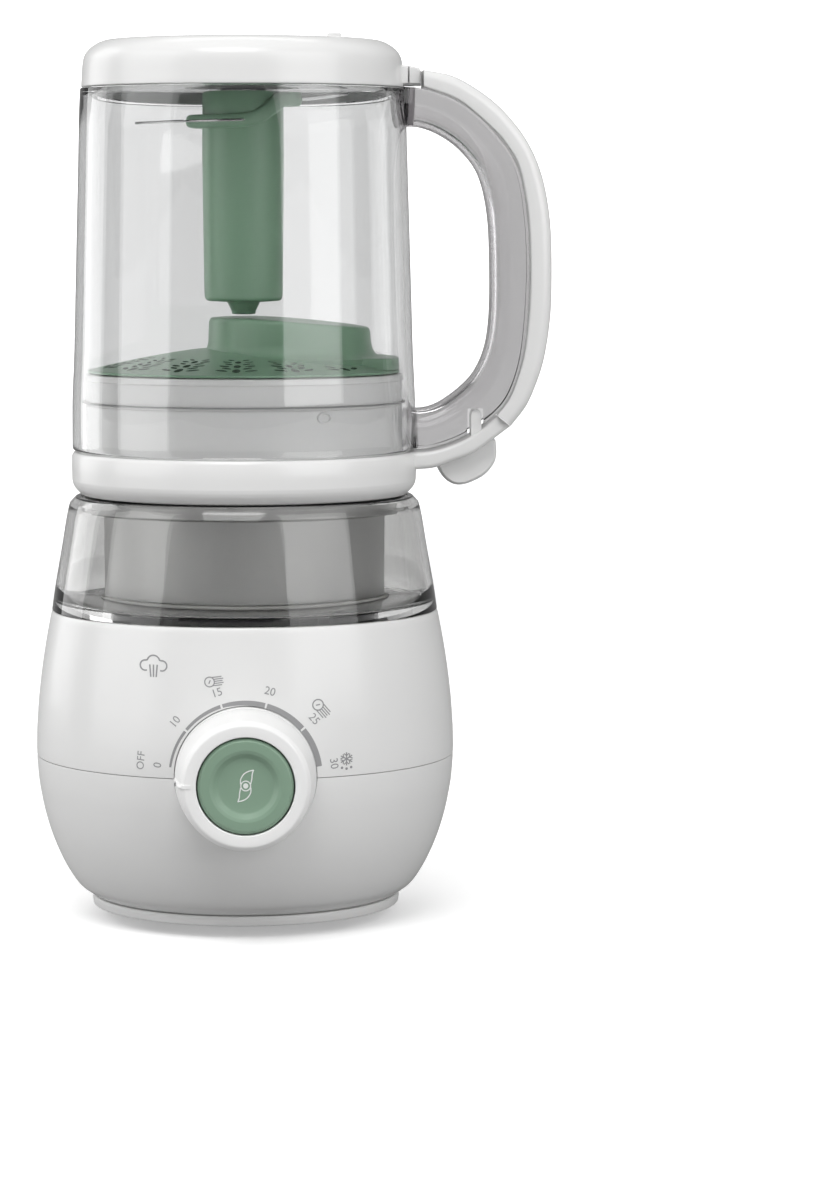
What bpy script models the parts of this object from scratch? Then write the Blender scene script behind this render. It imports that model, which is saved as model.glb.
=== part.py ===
"""Baby food maker: a steamer and blender base with its jar standing upside down on it.

The origin is on the base's centre line at the height of the surface it stands on. +Z is up, the
dial faces -Y, and the jar's handle points to +X. Dimensions are in millimetres and are turned into
metres as each piece is made. Pieces that touch keep a gap of 0.3 mm.
"""
import math

import bmesh
import bpy
from mathutils import Matrix, Vector

MM = 0.001
GAP = 0.3
ROUND = 28          # segments around a large turned piece
ROUND_INNER = 20    # segments around a large piece inside the base
ROUND_SMALL = 14    # segments around a small one
WALL = 2.5          # moulded wall of the shells, the tank and the lid

# Heights of the stack, bottom to top
FOOT_H = 2.7
COVER_TOP = 4.3
SHELL_TOP = 107.6
TANK_TOP = 148.7
DECK_TOP = 148.0
TOWER_TOP = 158.0
LID_BOTTOM = 149.2
LID_RING_TOP = 164.7
LID_PLATE = 172.5
PLUG_TOP = 192.8
JAR_MOUTH = 165.3
JAR_SHOULDER = 294.2
JAR_END = 300.5
CAP_TOP = 311.4

# Radii
FOOT_CIRCLE = 44.5
DECK_R = 47.6
CORE_R = 50.5
PLUG_R = 56.9
MOTOR_R = 31.0
SHAFT_R = 4.0
COLUMN_R = 14.6

# Dial and button, on an axis along Y through the front of the base
DIAL_Z = 56.4
DIAL_FRONT = 97.0
DIAL_BACK = 76.7
DIAL_FRONT_R = 22.3
DIAL_BACK_R = 24.3
BUTTON_R = 16.4

# Boiler and pipes, behind the centre line
BOILER_Y = 20.0
BOILER_R = 30.0
STEAM_Y = 42.0

# Handle: half widths along Y
HANDLE_HALF = 10.5
COVER_HALF = 12.5
ARM_HALF = 8.0

LOOKS = {
    "white_plastic": ((0.86, 0.86, 0.84), 0.35, 0.0, 1.0),
    "green_plastic": ((0.20, 0.32, 0.22), 0.4, 0.0, 1.0),
    "smoke_plastic": ((0.30, 0.31, 0.31), 0.12, 0.0, 0.45),
    "clear_plastic": ((0.86, 0.88, 0.88), 0.08, 0.0, 0.3),
    "grey_plastic": ((0.35, 0.36, 0.37), 0.5, 0.0, 1.0),
    "black_plastic": ((0.04, 0.04, 0.045), 0.5, 0.0, 1.0),
    "rubber": ((0.18, 0.18, 0.18), 0.8, 0.0, 1.0),
    "silicone": ((0.78, 0.78, 0.76), 0.6, 0.0, 1.0),
    "blade_steel": ((0.62, 0.62, 0.6), 0.25, 1.0, 1.0),
    "motor_steel": ((0.45, 0.45, 0.46), 0.4, 1.0, 1.0),
    "aluminium": ((0.75, 0.75, 0.76), 0.35, 1.0, 1.0),
    "copper": ((0.72, 0.38, 0.22), 0.35, 1.0, 1.0),
    "circuit_board": ((0.05, 0.26, 0.12), 0.5, 0.0, 1.0),
}


def clear_scene():
    """Remove every object that the file starts with."""
    for obj in list(bpy.data.objects):
        bpy.data.objects.remove(obj, do_unlink=True)


def new_collection(name):
    collection = bpy.data.collections.new(name)
    bpy.context.scene.collection.children.link(collection)
    return collection


clear_scene()
PIECES = new_collection("baby_food_maker")
TOOLS = new_collection("cutters")


def material(look, node):
    """A Principled material of the given look, made for one node."""
    colour, roughness, metallic, alpha = LOOKS[look]
    mat = bpy.data.materials.new(f"{node}_{look}")
    mat.use_nodes = True
    shader = mat.node_tree.nodes["Principled BSDF"]
    shader.inputs["Base Color"].default_value = (*colour, 1.0)
    shader.inputs["Roughness"].default_value = roughness
    shader.inputs["Metallic"].default_value = metallic
    shader.inputs["Alpha"].default_value = alpha
    return mat


def add_object(name, mesh, look, at=(0, 0, 0), turn=(0, 0, 0)):
    """Put a mesh in the scene at a place in mm; with no look it is a cutter or a tool body."""
    obj = bpy.data.objects.new(name, mesh)
    obj.location = Vector(at) * MM
    obj.rotation_euler = [math.radians(angle) for angle in turn]
    if look is None:
        TOOLS.objects.link(obj)
        obj.hide_render = True
        obj.display_type = "WIRE"
    else:
        PIECES.objects.link(obj)
        mesh.materials.append(material(look, name))
    return obj


def turned(name, look, profile, at=(0, 0, 0), turn=(0, 0, 0), segments=ROUND):
    """Turn (radius, height) points about the piece's own Z axis.

    The profile runs down the outer side. One that starts and ends on the axis is closed by it,
    and any other is closed into a ring.
    """
    mesh = bpy.data.meshes.new(name)
    edges = [(i, i + 1) for i in range(len(profile) - 1)]
    if profile[0][0] > 0 or profile[-1][0] > 0:
        edges.append((len(profile) - 1, 0))
    mesh.from_pydata([(r * MM, 0, z * MM) for r, z in profile], edges, [])
    obj = add_object(name, mesh, look, at, turn)
    screw = obj.modifiers.new("Turn", "SCREW")
    screw.axis = "Z"
    screw.steps = segments
    screw.render_steps = segments
    screw.use_smooth_shade = True
    screw.use_merge_vertices = True
    screw.merge_threshold = 0.00001
    return obj


def facing_front(name, look, profile, segments=ROUND):
    """A turned piece on the dial's axis; its profile's heights are distances in front of Z."""
    return turned(name, look, profile, at=(0, 0, DIAL_Z), turn=(90, 0, 0), segments=segments)


def block(name, look, low, high):
    """A box between two corners."""
    size = [(b - a) * MM for a, b in zip(low, high)]
    centre = [(a + b) / 2 for a, b in zip(low, high)]
    mesh = bpy.data.meshes.new(name)
    shape = bmesh.new()
    bmesh.ops.create_cube(shape, size=1.0, matrix=Matrix.Diagonal((*size, 1.0)))
    shape.to_mesh(mesh)
    shape.free()
    return add_object(name, mesh, look, centre)


def rod(name, look, radius, length, at, turn=(0, 0, 0), segments=ROUND_SMALL):
    """A cylinder centred at a point, along its own Z axis."""
    mesh = bpy.data.meshes.new(name)
    shape = bmesh.new()
    bmesh.ops.create_cone(shape, cap_ends=True, segments=segments, radius1=radius * MM,
                          radius2=radius * MM, depth=length * MM)
    shape.to_mesh(mesh)
    shape.free()
    return add_object(name, mesh, look, at, turn)


def outline(name, look, points, half, plane="XZ", level=0.0):
    """A flat outline with an extrusion of half to each side of level.

    Each point is (a, b, kind), where kind is "round" for a smooth point or "corner".
    """
    curve = bpy.data.curves.new(name + "_outline", "CURVE")
    curve.dimensions = "2D"
    curve.fill_mode = "BOTH"
    curve.extrude = half * MM
    curve.resolution_u = 4
    spline = curve.splines.new("BEZIER")
    spline.bezier_points.add(len(points) - 1)
    spline.use_cyclic_u = True
    for knot, (a, b, kind) in zip(spline.bezier_points, points):
        handle = "AUTO" if kind == "round" else "VECTOR"
        knot.co = (a * MM, b * MM, 0)
        knot.handle_left_type = handle
        knot.handle_right_type = handle
    source = bpy.data.objects.new(name + "_outline", curve)
    PIECES.objects.link(source)
    mesh = bpy.data.meshes.new_from_object(source.evaluated_get(bpy.context.evaluated_depsgraph_get()))
    mesh.name = name
    mesh.materials.clear()
    bpy.data.objects.remove(source)
    shape = bmesh.new()
    shape.from_mesh(mesh)
    bmesh.ops.remove_doubles(shape, verts=shape.verts, dist=0.000001)
    bmesh.ops.recalc_face_normals(shape, faces=shape.faces)
    shape.to_mesh(mesh)
    shape.free()
    if plane == "XZ":
        return add_object(name, mesh, look, (0, level, 0), (90, 0, 0))
    return add_object(name, mesh, look, (0, 0, level))


def boolean(obj, tool, operation, solver="EXACT"):
    step = obj.modifiers.new(tool.name, "BOOLEAN")
    step.operation = operation
    step.object = tool
    step.solver = solver


def cut(obj, *tools):
    for tool in tools:
        boolean(obj, tool, "DIFFERENCE")


def join(obj, *tools):
    for tool in tools:
        boolean(obj, tool, "UNION")


def around(radius, angle):
    """The x and y of a point at a radius and an angle in degrees."""
    return radius * math.cos(math.radians(angle)), radius * math.sin(math.radians(angle))


def inset(profile, wall):
    """The inner side of a wall: each point moved inwards, in the opposite order."""
    return [(r - wall, z) for r, z in reversed(profile)]


# ---------------------------------------------------------------- base: underside

def bottom_cover():
    cover = turned("bottom_cover", "white_plastic", [
        (0, 5.5), (49.6, 5.5), (49.6, COVER_TOP), (55.5, COVER_TOP), (55.7, 3.6), (55.4, 0.8),
        (52.2, 0.8), (52.0, 3.0), (36.8, 3.0), (36.5, 1.0), (0, 1.0)])
    for i in range(6):
        x, y = around(24, 60 * i + 30)
        slot = block(f"vent_{i + 1}", None, (-8, -1.5, 0), (8, 1.5, 7))
        slot.location = Vector((x, y, 3.5)) * MM
        slot.rotation_euler.z = math.radians(60 * i + 30)
        cut(cover, slot)
    for i in range(4):
        x, y = around(FOOT_CIRCLE, 90 * i)
        cut(cover, rod(f"cover_hole_{i + 1}", None, 1.9, 8, (x, y, 4)))


def feet_and_screws():
    for i in range(4):
        x, y = around(FOOT_CIRCLE, 90 * i + 45)
        turned(f"rubber_foot_{i + 1}", "rubber", [
            (0, FOOT_H), (6.2, FOOT_H), (6.5, 2.2), (6.5, 0.6), (5.9, 0), (0, 0)],
            at=(x, y, 0), segments=ROUND_SMALL)
        x, y = around(FOOT_CIRCLE, 90 * i)
        screw = turned(f"cover_screw_{i + 1}", "motor_steel", [
            (0, 9.8), (1.5, 9.8), (1.5, FOOT_H), (3.0, FOOT_H), (3.0, 1.6), (2.4, 1.0), (0, 1.0)],
            at=(x, y, 0), segments=12)
        cut(screw, block(f"screw_slot_{i + 1}", None, (x - 2, y - 0.4, 0), (x + 2, y + 0.4, 1.7)))


# ---------------------------------------------------------------- base: shells

LOWER_OUTER = [(75.4, 55.4), (74.6, 46.9), (73.7, 41.4), (71.2, 30.4), (67.2, 19.4),
               (64.3, 13.8), (60.4, 8.3), (54.6, 4.6)]
UPPER_OUTER = [(69.6, SHELL_TOP), (71.7, 96.2), (73.3, 85.3), (74.6, 74.4), (75.5, 63.4),
               (75.5, 55.7)]


def dial_opening():
    return rod("dial_opening", None, 24.8, 30, (0, -76, DIAL_Z), (90, 0, 0), segments=ROUND)


def lower_shell():
    inner = inset(LOWER_OUTER[:-1], WALL + 0.4)
    shell = turned("lower_shell", "white_plastic",
                   LOWER_OUTER + [(49.9, 4.6), (49.9, 7.1)] + inner)
    for i in range(4):
        x, y = around(FOOT_CIRCLE, 90 * i)
        boss = rod(f"boss_{i + 1}", None, 4.0, 4.6, (x, y, 8.1))
        rib = block(f"boss_rib_{i + 1}", None, (-6.5, -1.2, -1.3), (6.5, 1.2, 1.3))
        x, y = around(51.4, 90 * i)
        rib.location = Vector((x, y, 8.9)) * MM
        rib.rotation_euler.z = math.radians(90 * i)
        join(shell, rib, boss)
    for i in range(4):
        x, y = around(FOOT_CIRCLE, 90 * i)
        cut(shell, rod(f"boss_hole_{i + 1}", None, 1.9, 8, (x, y, 8)))
    cut(shell, dial_opening())
    cut(shell, rod("cord_opening", None, 6.0, 24, (0, 68, 20), (90, 0, 0)))


def upper_shell():
    shell = turned("upper_shell", "white_plastic",
                   [(49.0, SHELL_TOP)] + UPPER_OUTER + inset(UPPER_OUTER[1:], WALL)
                   + [(67.4, SHELL_TOP - WALL), (49.0, SHELL_TOP - WALL)])
    cut(shell, dial_opening())


def cord_inlet():
    """The grommet that the mains cord enters through, at the back."""
    turned("cord_inlet", "black_plastic", [
        (3.3, 73), (5.0, 73), (5.6, 72), (5.6, 58.0), (7.6, 58.0), (7.6, 55), (3.3, 55)],
        at=(0, 0, 20), turn=(-90, 0, 0), segments=ROUND_SMALL)


# ---------------------------------------------------------------- base: dial and button

def dial_group():
    facing_front("dial_seat", "white_plastic", [
        (12.0, 76.2), (24.5, 76.2), (24.5, 69.0), (12.0, 69.0)])
    dial = facing_front("dial", "white_plastic", [
        (16.9, DIAL_FRONT), (21.5, DIAL_FRONT), (DIAL_FRONT_R, DIAL_FRONT - 0.8),
        (DIAL_BACK_R, DIAL_BACK), (11.5, DIAL_BACK), (11.5, 67.3), (9.2, 67.3), (9.2, 88.0),
        (16.9, 88.0)])
    join(dial, block("dial_pointer", None, (-24.2, -97.5, DIAL_Z - 0.8), (-18.5, -78, DIAL_Z + 0.8)))
    facing_front("blend_button", "green_plastic", [
        (0, 95.2), (11.0, 95.4), (12.0, 96.6), (15.6, 96.6), (BUTTON_R, 95.8), (BUTTON_R, 91.0),
        (8.7, 91.0), (8.7, 70.6), (0, 70.6)])
    block("timer_module", "black_plastic", (-20, -66.5, 37), (20, -47, 76))


def electronics():
    block("control_board", "circuit_board", (-52, -24, 22), (-50.4, 24, 80))
    block("relay_block", "black_plastic", (-50.1, -8, 30), (-38, 8, 48))


# ---------------------------------------------------------------- base: boiler and steam

def boiler_group():
    centre = (0, BOILER_Y, 0)
    turned("boiler_cup", "aluminium", [
        (0, 18.0), (27.0, 18.0), (28.0, 19.5), (28.0, 38.0), (BOILER_R, 38.0), (BOILER_R, 18.0),
        (28.0, 16.0), (0, 16.0)], at=centre, segments=ROUND_INNER)
    lid = turned("boiler_lid", "grey_plastic", [
        (0, 41.0), (BOILER_R, 41.0), (BOILER_R, 38.3), (0, 38.3)], at=centre, segments=ROUND_INNER)
    cut(lid, rod("boiler_outlet", None, 2.4, 10, (0, STEAM_Y, 40), segments=12))
    turned("heating_element", "copper", [
        (17.5, 15.7), (22.0, 15.7), (22.5, 13.5), (21.5, 11.6), (18.0, 11.6), (17.0, 13.5)],
        at=centre, segments=ROUND_INNER)
    turned("thermostat", "motor_steel", [(0, 15.7), (8, 15.7), (8, 12.0), (0, 12.0)],
           at=centre, segments=ROUND_SMALL)
    turned("steam_pipe", "silicone", [(2.4, 142.6), (3.4, 142.6), (3.4, 41.3), (2.4, 41.3)],
           at=(0, STEAM_Y, 0), segments=12)
    turned("steam_nozzle", "silicone", [
        (2.6, 154.0), (4.0, 154.0), (4.8, 149.0), (4.8, 142.9), (2.6, 142.9)],
        at=(0, STEAM_Y, 0), segments=16)
    water_pipe()


def water_pipe():
    """The feed from the tank's floor to the boiler, a tube on a smooth route."""
    route = [(30, 50, 104.2), (30, 50, 84), (28, 45, 66), (21, 34, 54), (20, 32, 43.0)]
    curve = bpy.data.curves.new("water_pipe", "CURVE")
    curve.dimensions = "3D"
    curve.bevel_depth = 2.6 * MM
    curve.bevel_resolution = 1
    curve.resolution_u = 3
    curve.use_fill_caps = True
    spline = curve.splines.new("BEZIER")
    spline.bezier_points.add(len(route) - 1)
    for knot, place in zip(spline.bezier_points, route):
        knot.co = Vector(place) * MM
        knot.handle_left_type = "AUTO"
        knot.handle_right_type = "AUTO"
    curve.materials.append(material("silicone", "water_pipe"))
    PIECES.objects.link(bpy.data.objects.new("water_pipe", curve))


# ---------------------------------------------------------------- base: motor

def motor_group():
    turned("motor_housing", "motor_steel", [
        (29.6, 131.0), (MOTOR_R, 131.0), (MOTOR_R, 89.0), (36.0, 89.0), (36.0, 87.3),
        (MOTOR_R, 87.3), (MOTOR_R, 66.0), (6.6, 66.0), (6.6, 67.4), (29.6, 67.4)], segments=ROUND_INNER)
    turned("motor_end_plate", "aluminium", [
        (6.6, 131.0), (29.2, 131.0), (29.2, 127.5), (6.6, 127.5)], segments=ROUND_INNER)
    turned("motor_stator", "copper", [
        (20.0, 116.0), (29.2, 116.0), (29.2, 78.0), (20.0, 78.0)], segments=ROUND_INNER)
    for name, low in (("lower_bearing", 65.0), ("upper_bearing", 127.0)):
        turned(name, "copper", [
            (SHAFT_R + GAP, low + 5), (6.2, low + 5), (6.2, low), (SHAFT_R + GAP, low)],
            segments=ROUND_SMALL)
    turned("rotor_core", "motor_steel", [
        (SHAFT_R + GAP, 118.0), (18.5, 118.0), (18.5, 76.0), (SHAFT_R + GAP, 76.0)], segments=ROUND_INNER)
    turned("motor_shaft", "motor_steel", [
        (0, 149.2), (SHAFT_R, 149.2), (SHAFT_R, 62.0), (0, 62.0)], segments=ROUND_SMALL)
    cooling_fan()
    drive_coupling()
    plate = turned("chassis_plate", "grey_plastic", [
        (31.5, 87.0), (69.6, 87.0), (69.6, 84.0), (31.5, 84.0)])
    cut(plate, rod("pipe_hole", None, 4.0, 10, (0, STEAM_Y, 85), segments=12),
        rod("feed_hole", None, 4.2, 10, (30, 50, 85), segments=12))


def cooling_fan():
    fan = turned("cooling_fan", "black_plastic", [
        (SHAFT_R + GAP, 140.5), (8.0, 140.5), (8.0, 134.0), (SHAFT_R + GAP, 134.0)],
        segments=ROUND_SMALL)
    for i in range(6):
        x, y = around(17, 60 * i)
        vane = block(f"vane_{i + 1}", None, (-11, -0.6, -2.6), (11, 0.6, 2.6))
        vane.location = Vector((x, y, 137.2)) * MM
        vane.rotation_euler = (math.radians(35), 0, math.radians(60 * i))
        join(fan, vane)


def drive_coupling():
    """The driver on the shaft's end, with three lugs that the jar's socket drops over."""
    driver = turned("drive_coupling", "grey_plastic", [
        (0, 166.0), (3.0, 166.0), (4.4, 164.6), (4.4, 159.6), (8.3, 159.6), (8.3, 149.5),
        (0, 149.5)], segments=ROUND_SMALL)
    for i in range(3):
        x, y = around(5.2, 120 * i)
        lug = block(f"lug_{i + 1}", None, (-2.6, -1.3, -2.6), (2.6, 1.3, 2.6))
        lug.location = Vector((x, y, 161.2)) * MM
        lug.rotation_euler.z = math.radians(120 * i)
        join(driver, lug)


# ---------------------------------------------------------------- base: tank and deck

TANK_OUTER = [(61.0, TANK_TOP), (62.6, 146.9), (63.3, 144.6), (66.1, 128.7), (68.4, 115.0),
              (69.5, 107.9)]


def tank_group():
    turned("water_tank", "smoke_plastic",
           [(58.6, TANK_TOP)] + TANK_OUTER
           + [(49.0, 107.9), (49.0, 110.3), (66.6, 110.3), (65.9, 115.0), (63.6, 128.7),
              (60.8, 144.6), (58.6, 147.0)])
    turned("tank_gasket", "silicone", [
        (48.4, 112.0), (52.4, 112.0), (52.4, 110.6), (48.4, 110.6)])
    core = turned("tank_core", "grey_plastic", [
        (48.0, 148.3), (58.0, 148.3), (58.0, 146.6), (55.0, 146.4), (55.0, 143.8), (CORE_R, 143.2),
        (CORE_R, 112.3), (48.0, 112.3)])
    cut(core, block("filler", None, (-14, 51.5, 140), (14, 60, 150)))
    deck = turned("deck", "white_plastic", [
        (9.2, TOWER_TOP), (22.5, TOWER_TOP), (24.5, 156.5), (25.5, DECK_TOP), (DECK_R, DECK_TOP),
        (DECK_R, 145.5), (23.0, 145.5), (22.0, 155.5), (9.2, 155.5)])
    cut(deck, rod("nozzle_hole", None, 5.2, 10, (0, STEAM_Y, 147)),
        rod("plunger_hole", None, 2.9, 10, (-36, 0, 147), segments=16))
    turned("interlock_plunger", "white_plastic", [
        (0, 152.0), (1.9, 152.0), (2.5, 151.2), (2.5, 141.0), (0, 141.0)],
        at=(-36, 0, 0), segments=16)
    block("interlock_switch", "black_plastic", (-42, -4, 125), (-32, 4, 138.5))


# ---------------------------------------------------------------- jar: lid, seal and strainer

def lid():
    body = turned("lid", "white_plastic", [
        (0, 175.0), (54.3, 175.0), (54.3, 191.6), (55.4, PLUG_TOP), (56.4, 191.8), (PLUG_R, 189.0),
        (PLUG_R, LID_RING_TOP), (61.6, LID_RING_TOP), (62.0, 163.4), (61.9, 154.2), (61.2, 152.3),
        (59.8, 150.5), (58.5, LID_BOTTOM), (56.6, LID_BOTTOM), (57.4, 152.0), (59.3, 154.4),
        (59.3, 162.2), (54.3, 162.2), (54.3, LID_PLATE), (0, LID_PLATE)])
    arm = outline("lid_arm", None, [
        (60.2, 164.5, "corner"), (67.5, 165.0, "round"), (74.5, 167.0, "round"),
        (80.8, 169.9, "round"), (85.5, 172.9, "round"), (89.9, 176.4, "corner"),
        (94.4, 172.5, "corner"), (90.8, 168.6, "round"), (90.8, 162.4, "round"),
        (86.7, 156.0, "round"), (77.9, 152.3, "round"), (71.4, 155.4, "round"),
        (67.4, 158.8, "corner"), (60.2, 158.2, "corner")], ARM_HALF)
    tongue = block("lid_tongue", None, (81.4, -9.4, 166), (85.1, 2, 179.8))
    chimney = rod("steam_chimney", None, 7.5, 12.5, (0, STEAM_Y, 180))
    join(body, arm, tongue, chimney)
    cut(body, rod("steam_inlet", None, 5.0, 30, (0, STEAM_Y, 180)))
    turned("lid_seal", "silicone", [
        (57.4, 184.0), (58.0, 184.0), (58.6, 182.7), (58.0, 181.4), (57.4, 181.4)])


def strainer():
    """The sieve that the food rests on, with an off-centre raised dome."""
    dish = turned("strainer", "green_plastic", [
        (0, 204.5), (20.0, 204.0), (36.0, 202.2), (48.0, 199.0), (54.5, 195.6), (56.0, 195.2),
        (56.0, 193.1), (54.0, 193.1), (47.5, 196.6), (36.0, 199.9), (20.0, 201.8), (0, 202.3)])
    tilt = (0, 3.2, 0)
    dome = turned("strainer_dome", None, [
        (0, 13.3), (24.0, 13.0), (28.0, 11.4), (29.6, 8.0), (30.0, 0), (0, 0)],
        at=(16.5, 0, 198.3), turn=tilt, segments=ROUND)
    hollow = turned("strainer_hollow", None, [
        (0, 11.3), (23.4, 11.0), (26.4, 9.6), (27.6, 7.0), (27.8, -8.0), (0, -8.0)],
        at=(16.5, 0, 198.3), turn=tilt, segments=ROUND)
    boolean(dish, dome, "UNION", "MANIFOLD")
    boolean(dish, hollow, "DIFFERENCE", "MANIFOLD")
    for i in range(7):
        x, y = around(45, 63 + 39 * i)
        hole = rod(f"sieve_hole_{i + 1}", None, 2.2, 20, (x, y, 199), segments=6)
        boolean(dish, hole, "DIFFERENCE", "MANIFOLD")
    for i in range(5):
        x, y = around(15, 72 * i + 11)
        hole = rod(f"dome_hole_{i + 1}", None, 2.2, 16, (16.5 + x, y, 211), segments=6)
        boolean(dish, hole, "DIFFERENCE", "MANIFOLD")


# ---------------------------------------------------------------- jar, handle and cap

JAR_OUTER = [(58.2, JAR_SHOULDER), (58.8, 272.0), (59.8, 237.0), (60.8, 201.0), (61.6, 183.0),
             (61.7, JAR_MOUTH)]
# The line between the clear handle and its cover, then the outside of the cover, top to bottom
SEAM = [(64.0, 293.9), (76.8, 289.2), (88.6, 279.4), (97.6, 266.4), (101.2, 249.0),
        (102.1, 229.0), (99.6, 197.0), (95.3, 184.0)]
GRIP = [(76.0, 298.0), (88.5, 290.2), (97.2, 281.3), (103.0, 272.4), (108.4, 255.0),
        (110.2, 236.0), (110.2, 219.0), (108.0, 200.7), (102.9, 183.5)]
FINGER = [(66.0, 179.9), (73.5, 184.2), (81.0, 191.0), (86.4, 201.0), (88.3, 216.0),
          (88.5, 244.0), (86.0, 260.0), (77.6, 272.4), (68.0, 278.6)]


def jar():
    shell = turned("jar", "clear_plastic",
                   [(8.2, JAR_END), (54.4, JAR_END), (54.4, JAR_SHOULDER)] + JAR_OUTER
                   + inset(JAR_OUTER[1:], 2.4) + [(55.4, 292.0), (51.8, 295.8), (51.8, 297.8),
                                                  (8.2, 297.8)])
    loop = [(57.0, 293.9, "corner"), (64.0, 293.9, "corner")]
    loop += [(x, z, "round") for x, z in SEAM[1:]]
    loop += [(89.0, 177.4, "corner"), (85.5, 174.4, "round"), (80.8, 171.4, "round"),
             (74.5, 168.4, "round"), (67.5, 166.3, "round"), (59.2, 165.8, "corner")]
    loop += [(59.2, 179.0, "corner")]
    loop += [(x, z, "round") for x, z in FINGER]
    loop += [(57.0, 280.2, "corner")]
    handle = outline("jar_handle", None, loop, HANDLE_HALF)
    join(shell, handle)
    cut(shell, block("tongue_slot", None, (80.0, -14, 160), (85.8, 3.2, 181.0)))


def handle_cover():
    loop = [(64.2, 300.6, "corner")] + [(x, z, "round") for x, z in GRIP]
    loop += [(97.0, 173.8, "round"), (95.2, 173.7, "corner"), (90.6, 177.5, "corner")]
    for x, z in reversed(SEAM[1:]):
        loop.append((x + 0.4, z + (0.25 if z > 229 else -0.25), "round"))
    loop.append((64.2, 294.5, "corner"))
    outline("handle_cover", "white_plastic", loop, COVER_HALF)


def jar_cap():
    cap = turned("jar_cap", "white_plastic", [
        (9.9, 305.2), (38.0, 305.2), (39.2, 311.0), (40.0, CAP_TOP), (49.0, CAP_TOP - 0.2),
        (52.0, 309.9), (54.7, 308.4), (56.5, 306.3), (57.1, 304.2), (57.6, 294.5), (54.8, 294.5),
        (54.8, 300.8), (54.0, 304.5), (50.5, 308.2), (42.5, 308.2), (40.8, 302.7), (9.9, 302.7)])
    tab = block("cap_tab", None, (56.2, -9, 295.2), (63.6, 9, 302.0))
    stop = block("cap_stop", None, (29.5, -34, 309.0), (34.5, -29, 312.8))
    join(cap, tab, stop)


def drive_train():
    turned("spindle_bush", "grey_plastic", [
        (3.4, 302.4), (7.9, 302.4), (7.9, 297.0), (3.4, 297.0)], segments=ROUND_SMALL)
    turned("spindle", "motor_steel", [(0, 303.5), (3.0, 303.5), (3.0, 286.6), (0, 286.6)],
           segments=16)
    turned("drive_socket", "grey_plastic", [
        (0, 305.0), (6.0, 305.0), (6.6, 309.6), (9.4, 309.6), (9.4, 303.8), (0, 303.8)],
        segments=18)


def blade_group():
    column = turned("blade_column", "green_plastic", [
        (0, 286.2), (3.4, 286.2), (3.4, 296.4), (13.2, 296.4), (14.3, 294.8), (COLUMN_R, 270.0),
        (14.1, 222.0), (13.0, 218.6), (6.0, 218.2), (3.7, 215.0), (0, 214.4)], segments=ROUND_INNER)
    lower_arm = block("lower_arm", None, (-20.0, -4, 280.2), (-11.0, 4, 286.2))
    upper_arm = block("upper_arm", None, (11.0, -4, 289.8), (20.8, 4, 295.6))
    join(column, lower_arm, upper_arm)
    for name, side, level in (("blade_lower", -1, 283.0), ("blade_upper", 1, 292.8)):
        outline(name, "blade_steel", [
            (side * 21.2, 4.2, "corner"), (side * 30.0, 5.4, "round"), (side * 37.5, 2.0, "round"),
            (side * 38.2, -1.2, "corner"), (side * 30.0, -2.6, "round"),
            (side * 21.2, -4.2, "corner")], 0.6, plane="XY", level=level)


def build():
    bottom_cover()
    feet_and_screws()
    lower_shell()
    upper_shell()
    cord_inlet()
    dial_group()
    electronics()
    boiler_group()
    motor_group()
    tank_group()
    lid()
    strainer()
    jar()
    handle_cover()
    jar_cap()
    drive_train()
    blade_group()


build()
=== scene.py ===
import math

import bmesh
import bpy
import numpy as np
from mathutils import Matrix, Vector


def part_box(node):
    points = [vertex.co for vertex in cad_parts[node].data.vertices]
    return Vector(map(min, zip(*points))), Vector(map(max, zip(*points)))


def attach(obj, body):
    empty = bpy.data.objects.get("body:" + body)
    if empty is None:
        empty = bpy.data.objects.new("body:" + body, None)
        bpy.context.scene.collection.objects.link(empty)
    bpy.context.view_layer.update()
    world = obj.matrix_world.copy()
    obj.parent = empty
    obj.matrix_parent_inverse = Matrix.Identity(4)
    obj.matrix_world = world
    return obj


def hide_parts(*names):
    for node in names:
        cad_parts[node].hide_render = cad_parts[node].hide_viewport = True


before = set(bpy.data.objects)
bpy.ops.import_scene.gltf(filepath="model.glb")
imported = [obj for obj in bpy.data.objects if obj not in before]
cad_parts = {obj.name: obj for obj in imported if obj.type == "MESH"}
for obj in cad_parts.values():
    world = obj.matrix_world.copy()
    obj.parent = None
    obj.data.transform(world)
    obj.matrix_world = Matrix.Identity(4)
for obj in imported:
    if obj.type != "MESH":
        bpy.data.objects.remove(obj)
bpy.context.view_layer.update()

MM = 0.001
FINE = 160          # segments around a large turned piece
SMALL = 64          # segments around a small one
CORNER_STEPS = 5    # segments in a rounded corner
WELD = 0.0000005    # points closer than this, in metres, are one
PRINT_EDGE = 1.0    # printed shapes are cut finer than this, in mm, to follow the body


# ---- the frame's measures, in mm

def low(node, axis=2):
    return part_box(node)[0][axis] / MM


def high(node, axis=2):
    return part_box(node)[1][axis] / MM


def middle(node, axis):
    return (low(node, axis) + high(node, axis)) / 2


SHELL_TOP = high("upper_shell")
SPLIT_Z = (high("lower_shell") + low("upper_shell")) / 2
TANK_LOW = low("water_tank")
TANK_TOP = high("water_tank")
JAR_MOUTH = low("jar")
JAR_END = high("jar")
CAP_TOP = 311.4                          # the cap's rim; its small stop stands above
CORD_Z = 20
DIAL_BACK_R = 24.3
DIAL_Z = low("dial") + DIAL_BACK_R
DIAL_FRONT = -low("blend_button", 1) + 0.4
BUTTON_FACE = 94.45                      # the middle of the button's dished face
DOME_X = 16.5                            # the strainer's dome, off the centre line
HANDLE_HALF = 10.5                       # half the width of the clear handle
COVER_HALF = 12.5                        # and of its white cover


# ---- node materials


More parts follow.
